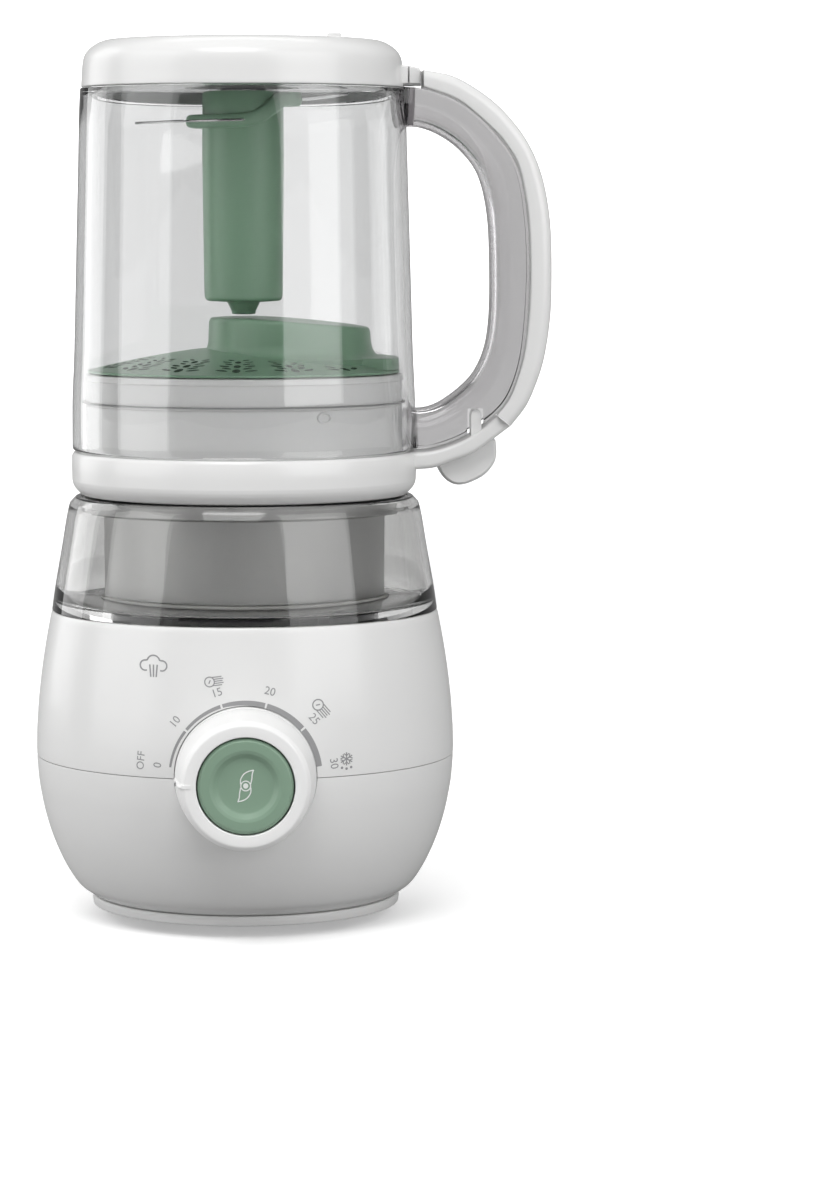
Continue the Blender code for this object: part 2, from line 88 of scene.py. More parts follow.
def new_material(name):
    mat = bpy.data.materials.new(name)
    mat.use_nodes = True
    return mat, mat.node_tree, mat.node_tree.nodes["Principled BSDF"]


def add_node(tree, kind, values=None, **settings):
    """A node with its settings, and its input values by name or by number."""
    made = tree.nodes.new("ShaderNode" + kind)
    for name, value in settings.items():
        setattr(made, name, value)
    for name, value in (values or {}).items():
        made.inputs[name].default_value = value
    return made


def object_noise(tree, scale, detail=3.0):
    """Noise in the piece's own metres."""
    where = add_node(tree, "TexCoord")
    noise = add_node(tree, "TexNoise", {"Scale": scale, "Detail": detail})
    tree.links.new(where.outputs["Object"], noise.inputs["Vector"])
    return noise.outputs["Fac"]


def spread(tree, value, lowest, highest):
    """A 0 to 1 value mapped onto a range."""
    mapping = add_node(tree, "MapRange", {"From Min": 0.3, "From Max": 0.7, "To Min": lowest,
                                          "To Max": highest})
    tree.links.new(value, mapping.inputs["Value"])
    return mapping.outputs["Result"]


def two_tone(tree, value, first, second):
    """A colour that drifts between two close colours."""
    ramp = add_node(tree, "ValToRGB")
    for stop, position, colour in zip(ramp.color_ramp.elements, (0.3, 0.7), (first, second)):
        stop.position = position
        stop.color = (*colour, 1)
    tree.links.new(value, ramp.inputs["Fac"])
    return ramp.outputs["Color"]


def add_bump(tree, heights, distance):
    """Bump from one or two height fields, the second chained after the first."""
    last = None
    for height in heights:
        bump = add_node(tree, "Bump", {"Strength": 1.0, "Distance": distance})
        tree.links.new(height, bump.inputs["Height"])
        if last is not None:
            tree.links.new(last, bump.inputs["Normal"])
        last = bump.outputs["Normal"]
    tree.links.new(last, tree.nodes["Principled BSDF"].inputs["Normal"])


def shade(colour, factor):
    return tuple(min(1.0, c * factor) for c in colour)


def moulded(name, colour, roughness, grain=500.0, depth=0.000004, drift=0.03,
            subsurface=0.0):
    """A moulded plastic or rubber: fine grain, slow colour drift and uneven gloss."""
    mat, tree, shader = new_material(name)
    slow = object_noise(tree, 22.0)
    tone = two_tone(tree, slow, shade(colour, 1 - drift), shade(colour, 1 + drift))
    tree.links.new(tone, shader.inputs["Base Color"])
    gloss = spread(tree, object_noise(tree, 60.0, 2.0), roughness * 0.94, roughness * 1.06)
    tree.links.new(gloss, shader.inputs["Roughness"])
    fine = object_noise(tree, grain, 2.0)
    ripple = object_noise(tree, 45.0, 1.0)
    add_bump(tree, (fine, ripple), depth)
    if subsurface:
        shader.inputs["Subsurface Weight"].default_value = subsurface
        shader.inputs["Subsurface Radius"].default_value = (0.004, 0.004, 0.0035)
        shader.inputs["Subsurface Scale"].default_value = 0.5
    return mat


def see_through(name, colour, roughness, body_tint=None):
    """A polished clear plastic; a body tint (r, g, b, density) darkens its thick walls."""
    mat, tree, shader = new_material(name)
    shader.inputs["Base Color"].default_value = (*colour, 1)
    shader.inputs["Transmission Weight"].default_value = 1.0
    shader.inputs["IOR"].default_value = 1.46
    gloss = spread(tree, object_noise(tree, 35.0, 4.0), roughness * 0.6, roughness * 1.6)
    tree.links.new(gloss, shader.inputs["Roughness"])
    add_bump(tree, (object_noise(tree, 14.0, 1.0),), 0.00004)
    if body_tint is not None:
        tint = add_node(tree, "VolumeAbsorption", {"Color": (*body_tint[:3], 1),
                                                   "Density": body_tint[3]})
        tree.links.new(tint.outputs["Volume"], tree.nodes["Material Output"].inputs["Volume"])
    return mat


def metal(name, colour, roughness, streaks=(900.0, 900.0, 30.0), depth=0.000004):
    """A ground metal with fine streaks along one direction."""
    mat, tree, shader = new_material(name)
    shader.inputs["Metallic"].default_value = 1.0
    where = add_node(tree, "TexCoord")
    stretch = add_node(tree, "Mapping", {"Scale": streaks})
    lines = add_node(tree, "TexNoise", {"Scale": 1.0, "Detail": 4.0})
    tree.links.new(where.outputs["Object"], stretch.inputs["Vector"])
    tree.links.new(stretch.outputs["Vector"], lines.inputs["Vector"])
    value = lines.outputs["Fac"]
    tone = two_tone(tree, value, shade(colour, 0.92), shade(colour, 1.06))
    tree.links.new(tone, shader.inputs["Base Color"])
    gloss = spread(tree, value, roughness * 0.75, roughness * 1.3)
    tree.links.new(gloss, shader.inputs["Roughness"])
    add_bump(tree, (value,), depth)
    return mat


WHITE = moulded("white_gloss", (0.82, 0.82, 0.815), 0.24, depth=0.0000015,
                drift=0.006)
WHITE_SATIN = moulded("white_satin", (0.79, 0.79, 0.785), 0.42,
                      depth=0.000003, drift=0.01)
DIAL_WHITE = moulded("dial_white", (0.92, 0.92, 0.915), 0.32,
                     depth=0.0000015, drift=0.006)
GREEN = moulded("sage_green", (0.215, 0.36, 0.245), 0.36, depth=0.000003,
                drift=0.02)
# a much darker copy of the sieve's green for its hole walls: painted shade inside the holes
GREEN_PAINTED_SHADE = moulded("sage_green_painted_hole_shade", (0.05, 0.09, 0.06), 0.6,
                      depth=0.000003, drift=0.02)
GREEN_BUTTON = moulded("button_green", (0.24, 0.36, 0.265), 0.40,
                       depth=0.000003, drift=0.015)
GREY = moulded("grey_plastic", (0.16, 0.165, 0.17), 0.5, grain=900.0,
               depth=0.00003)
BLACK = moulded("black_plastic", (0.02, 0.02, 0.022), 0.5, grain=900.0,
                depth=0.00003)
RUBBER = moulded("foot_rubber", (0.12, 0.12, 0.12), 0.8, grain=700.0, depth=0.00005)
SILICONE = moulded("silicone", (0.55, 0.55, 0.53), 0.55, depth=0.00002,
                   subsurface=0.2)
SEAL_GREY = moulded("seal_grey", (0.32, 0.32, 0.32), 0.6, depth=0.00002)
INK = moulded("grey_ink", (0.31, 0.31, 0.315), 0.55, grain=2500.0)
INK_WHITE = moulded("white_ink", (0.82, 0.84, 0.82), 0.5, grain=2500.0)
BOARD = moulded("circuit_board", (0.02, 0.12, 0.05), 0.4, depth=0.00004, drift=0.15)
CLEAR = see_through("clear_jar", (0.93, 0.933, 0.933), 0.015)
HANDLE_CLEAR = see_through("clear_handle", (0.93, 0.93, 0.93), 0.03,
                           (0.04, 0.0, 0.03, 72.0))
SMOKE = see_through("smoke_tank", (0.77, 0.77, 0.765), 0.02)
STEEL = metal("blade_steel", (0.30, 0.30, 0.30), 0.18)
DRUM = metal("tank_drum_grey", (0.50, 0.50, 0.495), 0.42, (40.0, 40.0, 40.0),
             0.000002)
MOTOR_STEEL = metal("motor_steel", (0.35, 0.35, 0.36), 0.4)
ALUMINIUM = metal("aluminium", (0.6, 0.6, 0.61), 0.38)
COPPER = metal("copper", (0.6, 0.27, 0.14), 0.35, (60.0, 60.0, 2500.0))


# ---- mesh makers

def new_object(name, verts, faces, clean=False):
    """An object from points in mm, welded, with its faces turned outwards."""
    mesh = bpy.data.meshes.new(name)
    mesh.from_pydata([tuple(c * MM for c in v) for v in verts], [], faces)
    shape = bmesh.new()
    shape.from_mesh(mesh)
    bmesh.ops.remove_doubles(shape, verts=shape.verts, dist=WELD)
    if clean:
        bmesh.ops.dissolve_degenerate(shape, edges=shape.edges, dist=WELD)
    bmesh.ops.recalc_face_normals(shape, faces=shape.faces)
    shape.to_mesh(mesh)
    shape.free()
    obj = bpy.data.objects.new(name, mesh)
    bpy.context.scene.collection.objects.link(obj)
    return obj


def tool(name, verts, faces):
    """A closed mesh used once in a Boolean."""
    obj = new_object(name, verts, faces)
    obj.hide_render = True
    return obj


def add_piece(name, verts, faces, mat, body, node=None, sharp=32.0, extra=()):
    """A closed mesh, in mm, that rides on a body and may stand for a CAD node."""
    return finish_piece(new_object(name, verts, faces, True), mat, body, node, sharp, extra)


def finish_piece(obj, mat, body, node=None, sharp=32.0, extra=()):
    """Material, Booleans as (tool, operation) pairs, shading, and the piece's place in the frame."""
    obj.data.materials.clear()
    obj.data.materials.append(mat)
    if extra:
        combine(obj, extra)
    obj.data.shade_smooth()
    obj.data.set_sharp_from_angle(angle=math.radians(sharp))
    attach(obj, body)
    if node is not None:
        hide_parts(node)
    return obj


def unit(way):
    return way / np.linalg.norm(way)


def join(*tools):
    return [(other, "UNION") for other in tools]


def cut(*tools):
    return [(other, "DIFFERENCE") for other in tools]


def combine(obj, steps):
    """Apply Booleans to an object, and remove the tools that they used."""
    for other, operation in steps:
        step = obj.modifiers.new(other.name, "BOOLEAN")
        step.operation = operation
        step.object = other
        step.solver = "EXACT"
    graph = bpy.context.evaluated_depsgraph_get()
    mesh = bpy.data.meshes.new_from_object(obj.evaluated_get(graph))
    obj.modifiers.clear()
    obj.data = mesh
    for other, _ in steps:
        bpy.data.objects.remove(other, do_unlink=True)


def through(points, steps=6):
    """Points along a smooth curve through the given ones, ends included."""
    pts = [np.array(p, float) for p in points]
    pts = [2 * pts[0] - pts[1]] + pts + [2 * pts[-1] - pts[-2]]
    out = []
    for a, b, c, d in zip(pts, pts[1:], pts[2:], pts[3:]):
        for i in range(steps):
            t = i / steps
            out.append(0.5 * (2 * b + (c - a) * t + (2 * a - 5 * b + 4 * c - d) * t * t
                              + (3 * b - a - 3 * c + d) * t ** 3))
    out.append(pts[-2])
    return [tuple(p) for p in out]


def rounded(profile, closed):
    """A profile whose (r, z, radius) corners become arcs; (r, z) corners stay as they are."""
    out = []
    count = len(profile)
    for i, point in enumerate(profile):
        here = np.array(point[:2], float)
        radius = point[2] if len(point) > 2 else 0.0
        if radius <= 0 or (not closed and i in (0, count - 1)):
            out.append(tuple(here))
            continue
        before = np.array(profile[i - 1][:2], float) - here
        after = np.array(profile[(i + 1) % count][:2], float) - here
        reach = min(np.linalg.norm(before), np.linalg.norm(after)) * 0.49
        before /= np.linalg.norm(before)
        after /= np.linalg.norm(after)
        half = math.acos(max(-1.0, min(1.0, float(before @ after)))) / 2
        cut = min(radius / math.tan(half), reach)
        size = cut * math.tan(half)
        bisector = (before + after) / np.linalg.norm(before + after)
        centre = here + bisector * (size / math.sin(half))
        start = here + before * cut - centre
        end = here + after * cut - centre
        turn = math.atan2(start[0] * end[1] - start[1] * end[0], start @ end)
        for k in range(CORNER_STEPS + 1):
            a = turn * k / CORNER_STEPS
            spin = np.array([[math.cos(a), -math.sin(a)], [math.sin(a), math.cos(a)]])
            out.append(tuple(centre + spin @ start))
    return out


def revolve(profile, segments=FINE, place=Matrix.Identity(4), warp=None):
    """Vertices and faces of a profile turned about Z, then moved by a matrix (in mm)."""
    closed = profile[0][0] > 0 or profile[-1][0] > 0
    line = rounded(profile, closed)
    count = len(line)
    verts = []
    for i in range(segments):
        a = 2 * math.pi * i / segments
        for r, z in line:
            point = Vector((r * math.cos(a), r * math.sin(a), z))
            if warp is not None:
                point = warp(point)
            verts.append(tuple(place @ point))
    faces = []
    for i in range(segments):
        j = (i + 1) % segments
        for k in range(count if closed else count - 1):
            m = (k + 1) % count
            corners = [i * count + k, i * count + m, j * count + m, j * count + k]
            if line[k][0] < 1e-9:
                corners.pop(3)
            elif line[m][0] < 1e-9:
                corners.pop(2)
            faces.append(corners)
    return verts, faces


def lathe(name, profile, mat, body, node, segments=FINE, place=Matrix.Identity(4), extra=()):
    """A turned piece: its profile is a list of (r, z) or (r, z, corner radius)."""
    verts, faces = revolve(profile, segments, place)
    return add_piece(name, verts, faces, mat, body, node, extra=extra)


def front_place():
    """Turns +Z into -Y and lifts to the dial's axis."""
    return at(0, 0, DIAL_Z) @ Matrix.Rotation(math.radians(90), 4, "X")


def back_place():
    """Turns +Z into +Y and lifts to the cord inlet's axis."""
    return at(0, 0, CORD_Z) @ Matrix.Rotation(math.radians(-90), 4, "X")


def at(x, y, z=0.0):
    return Matrix.Translation((x, y, z))


def turned(points, degrees):
    """Points turned about the machine's axis."""
    turn = Matrix.Rotation(math.radians(degrees), 4, "Z")
    return [tuple(turn @ Vector(p)) for p in points]


def loft(rings):
    """Vertices and faces of a closed form through equal rings of points."""
    verts = [p for ring in rings for p in ring]
    size = len(rings[0])
    faces = []
    for i in range(len(rings) - 1):
        for k in range(size):
            m = (k + 1) % size
            faces.append((i * size + k, i * size + m, (i + 1) * size + m, (i + 1) * size + k))
    faces.append(tuple(range(size))[::-1])
    faces.append(tuple(range((len(rings) - 1) * size, len(rings) * size)))
    return verts, faces


BOX_FACES = [(0, 1, 3, 2), (4, 6, 7, 5), (0, 4, 5, 1), (2, 3, 7, 6), (0, 2, 6, 4), (1, 5, 7, 3)]


def box_corners(lowest, highest):
    return [(x, y, z) for x in (lowest[0], highest[0]) for y in (lowest[1], highest[1])
            for z in (lowest[2], highest[2])]


def box_tool(name, lowest, highest):
    return tool(name, box_corners(lowest, highest), BOX_FACES)


def rod_tool(name, radius, lowest, highest, place, segments=48):
    verts, faces = revolve([(0, highest), (radius, highest), (radius, lowest), (0, lowest)],
                           segments, place)
    return tool(name, verts, faces)


# ---- the body's outline

LOWER_LINE = [(75.45, SPLIT_Z - 0.1), (74.75, 46.9), (73.9, 41.4), (72.8, 35.9), (71.35, 30.4),
              (69.5, 24.9), (67.2, 19.4), (64.3, 13.8), (60.4, 8.3), (55.4, 4.9)]
UPPER_LINE = [(69.6, SHELL_TOP), (70.75, 101.7), (71.75, 96.2), (72.65, 90.7), (73.42, 85.3),
              (74.08, 79.8), (74.63, 74.4), (75.26, 65.0), (75.5, SPLIT_Z + 0.1)]


def body_radius(z):
    """The outline's radius at a height."""
    line = (UPPER_LINE if z > SPLIT_Z else LOWER_LINE)[::-1]
    return float(np.interp(z, [p[1] for p in line], [p[0] for p in line]))


def wall_inside(line, wall):
    """The way back along an outline, inside it by the wall's thickness."""
    return [(r - wall, z) for r, z in reversed(line)]


def dial_opening():
    return rod_tool("dial_opening", 24.8, 60, 96, front_place(), 96)


def lower_shell():
    outer = through(LOWER_LINE, 5)
    profile = [(outer[0][0] - 0.15, outer[0][1])] + outer[1:] + [(54.6, 4.6, 0.3), (49.9, 4.6),
               (49.9, 7.1)] + wall_inside(outer[:-4], 2.9)
    cord_opening = rod_tool("cord_opening", 6.0, 50, 80, back_place())
    lathe("body_lower", profile, WHITE, "base", "lower_shell",
          extra=cut(dial_opening(), cord_opening))


def upper_shell():
    outer = through(UPPER_LINE, 5)
    profile = [(49.0, SHELL_TOP), (69.3, SHELL_TOP, 0.3)] + outer[1:-1]
    profile += [(75.35, SPLIT_Z + 0.15)] + wall_inside(outer[1:], 2.5)
    profile += [(67.0, SHELL_TOP - 2.5), (49.0, SHELL_TOP - 2.5)]
    lathe("body_upper", profile, WHITE, "base", "upper_shell", extra=cut(dial_opening()))


def underside():
    profile = [(0, 5.5), (49.6, 5.5), (49.6, 4.3), (55.5, 4.3, 0.5), (55.7, 2.8), (55.4, 0.8, 0.5),
               (52.2, 0.8, 0.4), (52.0, 3.0, 0.4), (36.8, 3.0, 0.4), (36.5, 1.0, 0.4), (0, 1.0)]
    verts, faces = [], []
    for i in range(6):
        for k in (-1, 0, 1):
            slot = box_corners((14 + 3 * abs(k), -1.2, 0), (32, 1.2, 7))
            faces += [tuple(len(verts) + c for c in face) for face in BOX_FACES]
            verts += turned(slot, 60 * i + 30 + 14 * k)
    lathe("foot_ring", profile, WHITE_SATIN, "base", "bottom_cover",
          extra=cut(tool("vents", verts, faces)))
    foot = [(0, 2.7), (6.4, 2.7), (6.5, 0.0, 0.7), (4.6, 0.0, 0.2), (4.3, 0.35, 0.2), (0, 0.35)]
    for i in range(4):
        node = f"rubber_foot_{i + 1}"
        lathe(f"foot_{i + 1}", foot, RUBBER, "base", node, SMALL,
              at(middle(node, 0), middle(node, 1)))


def cord_inlet():
    ribs = []
    for k in range(3):
        z = 72.2 - 1.6 * k
        ribs += [(5.6, z, 0.2), (5.6, z - 0.7, 0.2), (5.2, z - 0.8), (5.2, z - 1.5)]
    lathe("cord_grommet", [(3.3, 73, 0.4), (5.2, 73, 0.6)] + ribs
          + [(5.6, 67.0, 0.2), (5.6, 58.0), (7.6, 58.0, 0.4), (7.6, 55, 0.4), (3.3, 55)],
          BLACK, "base", "cord_inlet", SMALL, back_place())


# ---- dial, button and printing

def dial_group():
    place = front_place()
    lathe("dial_seat_ring", [(12.0, 76.2), (24.5, 76.2, 0.5), (24.5, 69.0), (12.0, 69.0)],
          WHITE, "base", "dial_seat", FINE, place)
    ring = [(16.9, DIAL_FRONT, 0.35), (20.9, DIAL_FRONT, 1.2), (22.3, DIAL_FRONT - 1.6, 1.0)]
    ring += through([(22.6, DIAL_FRONT - 3.5), (23.2, DIAL_FRONT - 9), (23.9, DIAL_FRONT - 15),
                     (DIAL_BACK_R, 77.2)], 3)
    ring += [(24.1, 76.7), (11.5, 76.7), (11.5, 67.3), (9.2, 67.3), (9.2, 88.0), (16.9, 88.0)]
    lathe("timer_dial", ring, DIAL_WHITE, "dial", "dial", FINE, place, join(pointer_rib()))
    cap = [(0, BUTTON_FACE - 0.05), (7.5, BUTTON_FACE), (9.6, 94.8, 1.5), (11.2, 96.2, 1.5),
           (12.4, 96.6, 1.0), (15.4, 96.6, 0.6), (16.4, 95.7, 0.6), (16.4, 91.0), (8.7, 91.0),
           (8.7, 70.6), (0, 70.6)]
    lathe("pulse_button", cap, GREEN_BUTTON, "button", "blend_button", FINE, place)
    button_icon()
    # a grey wedge beside the pointer rib: painted shadow of the rib
    pointer_painted_shadow()


def pointer_rib():
    """A slim rounded rib along the dial's side, at the scale's zero."""
    rings = []
    for y, reach, half in ((-77.6, 23.9, 0.4), (-80, 24.5, 0.9), (-90, 23.7, 0.9),
                           (-95.6, 22.9, 0.8), (-97.3, 21.8, 0.55)):
        ring = []
        for k in range(12):
            a = math.pi * (k / 11 - 0.5)
            ring.append((-(reach - 0.4 + 0.6 * math.cos(a)), y, DIAL_Z + half * math.sin(a)))
        ring += [(-(reach - 3.0), y, DIAL_Z + half), (-(reach - 3.0), y, DIAL_Z - half)]
        rings.append(ring)
    return tool("pointer", *loft(rings))


def ribbon(points, width, closed=False):
    """A flat 2D stroke of a given width along points."""
    pts = [np.array(p[:2], float) for p in points]
    count = len(pts)
    left, right = [], []
    for i, here in enumerate(pts):
        ways = []
        if closed or i > 0:
            ways.append(unit(here - pts[i - 1]))
        if closed or i < count - 1:
            ways.append(unit(pts[(i + 1) % count] - here))
        way = sum(ways) / len(ways)
        size = max(np.linalg.norm(way), 0.5)
        normal = np.array([-way[1], way[0]]) / size ** 2
        left.append(tuple(here + normal * width / 2))
        right.append(tuple(here - normal * width / 2))
    faces = []
    for i in range(count if closed else count - 1):
        j = (i + 1) % count
        faces.append((i, j, count + j, count + i))
    return left + right, faces


def circle(cx, cy, radius, steps=28, start=0.0, end=360.0):
    angles = np.radians(np.linspace(start, end, steps, endpoint=abs(end - start) < 359.9))
    return [(cx + radius * math.cos(a), cy + radius * math.sin(a)) for a in angles]


def disc(cx, cy, radius, steps=20):
    ring = circle(cx, cy, radius, steps)
    return ring, [tuple(range(len(ring)))]


def lettering(words, size):
    """Flat outlines of digits as a 2D mesh, centred on the origin."""
    curve = bpy.data.curves.new("digits", "FONT")
    curve.body = words
    curve.size = size
    curve.align_x = "CENTER"
    curve.align_y = "CENTER"
    curve.resolution_u = 4
    source = bpy.data.objects.new("digits", curve)
    bpy.context.scene.collection.objects.link(source)
    graph = bpy.context.evaluated_depsgraph_get()
    mesh = bpy.data.meshes.new_from_object(source.evaluated_get(graph))
    verts = [tuple(v.co[:2]) for v in mesh.vertices]
    faces = [tuple(f.vertices) for f in mesh.polygons]
    bpy.data.objects.remove(source)
    return verts, faces


def moved(shape, x, y, degrees=0.0, scale=1.0):
    verts, faces = shape
    a = math.radians(degrees)
    out = [(x + scale * (u * math.cos(a) - v * math.sin(a)),
            y + scale * (u * math.sin(a) + v * math.cos(a))) for u, v in verts]
    return out, faces


def printed(name, shapes, surface, mat, body, thick=0.08, sink=0.04):
    """Flat shapes laid on a surface as a thin closed layer; surface(x, z) gives the y."""
    shape = bmesh.new()
    for verts, faces in shapes:
        made = [shape.verts.new((x, z, 0)) for x, z in verts]
        for face in faces:
            shape.faces.new([made[i] for i in face])
    bmesh.ops.remove_doubles(shape, verts=shape.verts, dist=0.001)
    bmesh.ops.triangulate(shape, faces=shape.faces)
    edges = [e for e in shape.edges if e.calc_length() > PRINT_EDGE]
    if edges:
        bmesh.ops.subdivide_edges(shape, edges=edges, cuts=1, use_grid_fill=False)
        bmesh.ops.triangulate(shape, faces=shape.faces)
    for face in shape.faces:
        if face.normal.z > 0:
            face.normal_flip()
    grown = bmesh.ops.extrude_face_region(shape, geom=list(shape.faces))
    raised = {v for v in grown["geom"] if isinstance(v, bmesh.types.BMVert)}
    for vert in shape.verts:
        x, z = vert.co.x, vert.co.y
        y = surface(x, z)
        vert.co = Vector((x, y + (-thick if vert in raised else sink), z)) * MM
    bmesh.ops.recalc_face_normals(shape, faces=shape.faces)
    mesh = bpy.data.meshes.new(name)
    shape.to_mesh(mesh)
    shape.free()
    obj = bpy.data.objects.new(name, mesh)
    bpy.context.scene.collection.objects.link(obj)
    return finish_piece(obj, mat, body, None, 40.0)


def on_body(x, z):
    """The y of the body's front surface."""
    return -math.sqrt(max(body_radius(z) ** 2 - x * x, 1.0))


def on_button(x, z):
    return -BUTTON_FACE


def button_icon():
    """A two-bladed outline with a ring and a dot in its middle."""
    outside = through([(-1.85, 0.6), (-1.75, 2.5), (-0.6, 4.3), (1.0, 5.25), (2.9, 5.7)], 5)
    inside = through([(2.85, 5.8), (2.35, 4.3), (2.2, 2.6), (1.8, 0.7)], 5)
    strokes = [(circle(0, 0, 1.75, 36), True), (outside, False), (inside, False)]
    shapes = [disc(0, 0, 0.95, 28)]
    for line, closed in strokes:
        shapes.append(ribbon(line, 0.42, closed))
        if not closed:
            shapes.append(moved(ribbon(line, 0.42), 0, 0, 180))
    for index, shape in enumerate(shapes):
        printed(f"button_icon_{index + 1}", [moved(shape, 0, DIAL_Z, 0, 0.95)], on_button,
                INK_WHITE, "button", 0.1 + 0.01 * index, 0.05)


def pointer_painted_shadow():
    """A grey wedge along the front of the pointer: painted shadow cast by the pointer rib."""
    rings = []
    for y in (-90.5, -86.0):
        rings.append([(-24.15, y, DIAL_Z - 0.65), (-24.15, y, DIAL_Z + 0.65),
                      (-22.8, y, DIAL_Z)])
    add_piece("pointer_painted_shadow", *loft(rings), INK, "dial", None, 30.0)


SCALE_MARKS = [("0", 173.0), ("10", 142.0), ("15", 108.5), ("20", 74.0), ("25", 39.6),
               ("30", 7.3)]
SCALE_R = 26.6


def scale_print():
    """The timer's scale: an arc that widens clockwise, broken at each mark, with its numbers."""
    widths = [0.75, 1.0, 1.25, 1.95, 2.0, 2.0]
    shapes = []
    for i in range(len(SCALE_MARKS) - 1):
        start, end = SCALE_MARKS[i][1], SCALE_MARKS[i + 1][1]
        trim_start = 0.0 if i == 0 else 0.8
        trim_end = 0.0 if i == len(SCALE_MARKS) - 2 else 0.8
        angles = np.linspace(start - trim_start, end + trim_end, 26)
        verts, faces = [], []
        for k, angle in enumerate(angles):
            a = math.radians(angle)
            wide = np.interp(k / 25, [0, 1], [widths[i], widths[i + 1]])
            for r in (SCALE_R, SCALE_R - wide):
                verts.append((r * math.cos(a), DIAL_Z + r * math.sin(a)))
            if k:
                faces.append((2 * k - 2, 2 * k, 2 * k + 1, 2 * k - 1))
        shapes.append((verts, faces))
    printed("scale_arc", shapes, on_body, INK, "base")
    numbers = []
    for words, angle in SCALE_MARKS:
        radius = SCALE_R + (4.2 if len(words) > 1 else 4.0)
        a = math.radians(angle)
        numbers.append(moved(lettering(words, 3.9), radius * math.cos(a),
                             DIAL_Z + radius * math.sin(a), angle - 90))
    printed("scale_numbers", numbers, on_body, INK, "base")


def icon_print():
    """Steam cloud, two food signs, a thaw sign and the off position."""
    steam_x, steam_z = -31.7, 94.0
    bumps = circle(-2.9, 0.3, 1.75, 14, 290, 85)
    bumps += circle(0.0, 1.6, 2.2, 16, 165, 15)
    bumps += circle(2.9, 0.3, 1.75, 14, 95, -110)
    shapes = [moved(ribbon(bumps, 0.5), steam_x, steam_z)]
    for x in (-1.25, 0.0, 1.25):
        line = [(x * 1.05, 0.6), (x * 0.9, -1.4), (x * 0.75, -3.6)]
        shapes.append(moved(ribbon(through(line, 3), 0.5), steam_x, steam_z))
    printed("icon_steam", shapes, on_body, INK, "base")
    for name, x, z, turn, size in (("icon_small_piece", -12.3, 89.3, 8, 0.95),
                                   ("icon_large_piece", 25.1, 80.9, -50, 1.05)):
        shapes = [moved(ribbon(circle(0, 0, 1.75, 26), 0.4, True), x, z, turn, size)]
        for k, reach in ((-1.5, 4.6), (-0.75, 5.3), (0.0, 5.0), (0.75, 5.4), (1.5, 4.8)):
            start = math.sqrt(1.75 ** 2 - k ** 2) + 0.15
            shapes.append(moved(ribbon([(start, k), (reach * 0.95, k)], 0.34), x, z, turn, size))
        shapes.append(moved(ribbon([(-0.35, -0.6), (0.35, 0.6)], 0.4), x, z, turn, size))
        printed(name, shapes, on_body, INK, "base")
    snow_x, snow_z = 35.0, 61.6
    shapes = []
    for k in range(3):
        shapes.append(moved(ribbon([(-2.3, 0), (2.3, 0)], 0.42), snow_x, snow_z, 90 + 60 * k))
    fork = ribbon([(1.9, 0.9), (1.1, 0), (1.9, -0.9)], 0.34)
    for k in range(6):
        shapes.append(moved(fork, snow_x, snow_z, 30 + 60 * k))
    for x in (-1.6, 0.0, 1.6):
        shapes.append(disc(snow_x + x, snow_z - 3.4 + 0.25 * abs(x), 0.45))
    printed("icon_thaw", shapes, on_body, INK, "base")
    printed("scale_off", [moved(lettering("OFF", 3.7), -36.2, 61.4, 85)], on_body, INK, "base")


# ---- tank, deck and coupling

def tank_group():
    outer = through([(69.5, TANK_LOW), (68.9, 112.3), (68.0, 118.0), (66.1, 128.7),
                     (64.3, 139.7), (63.3, 144.6), (62.6, 146.9)], 4)[::-1]
    profile = [(58.8, TANK_TOP, 0.3), (60.6, TANK_TOP, 1.0)] + outer[1:]
    profile += [(49.0, TANK_LOW), (49.0, 110.3), (65.4, 110.3, 1.6)]
    profile += through([(65.9, 115.0), (65.0, 120.5), (63.6, 128.7), (61.8, 138.5),
                        (60.4, 144.6)], 3)
    profile += [(58.8, 146.6, 1.0)]
    lathe("tank_wall", profile, SMOKE, "base", "water_tank")
    filler = box_tool("filler", (-14, 51.5, 140), (14, 62, 150))
    core = [(48.0, 148.3), (58.0, 148.3, 0.4), (58.0, 146.6, 0.4), (55.2, 146.4, 0.3),
            (55.0, 143.8, 0.5), (50.5, 143.2, 0.8), (50.5, 112.3, 0.6), (48.0, 112.3)]
    lathe("tank_drum", core, DRUM, "base", "tank_core", extra=cut(filler))
    lathe("tank_seal", [(48.4, 112.0, 0.5), (52.4, 112.0, 0.5), (52.4, 110.6, 0.3),
                        (48.4, 110.6, 0.3)], SILICONE, "base", "tank_gasket")
    deck = [(9.2, 158.0, 0.4), (22.5, 158.0, 1.6), (24.5, 156.0, 1.0), (25.5, 148.0, 1.5),
            (47.6, 148.0, 0.5), (47.6, 145.5), (23.0, 145.5), (22.0, 155.5), (9.2, 155.5)]
    nozzle = at(0, middle("steam_nozzle", 1))
    plunger = at(middle("interlock_plunger", 0), 0)
    lathe("deck_plate", deck, WHITE_SATIN, "base", "deck",
          extra=cut(rod_tool("nozzle_hole", 5.2, 140, 152, nozzle),
                    rod_tool("plunger_hole", 2.9, 140, 152, plunger)))
    lathe("steam_spout", [(2.6, 154.0, 0.4), (4.0, 154.0, 0.6), (4.8, 149.0, 0.8), (4.8, 142.9),
                          (2.6, 142.9)], SILICONE, "base", "steam_nozzle", SMALL, nozzle)
    lathe("lock_pin", [(0, 152.0), (1.9, 152.0, 0.5), (2.5, 151.2, 0.4), (2.5, 141.0), (0, 141.0)],
          WHITE_SATIN, "plunger", "interlock_plunger", SMALL, plunger)
    driver_coupling()


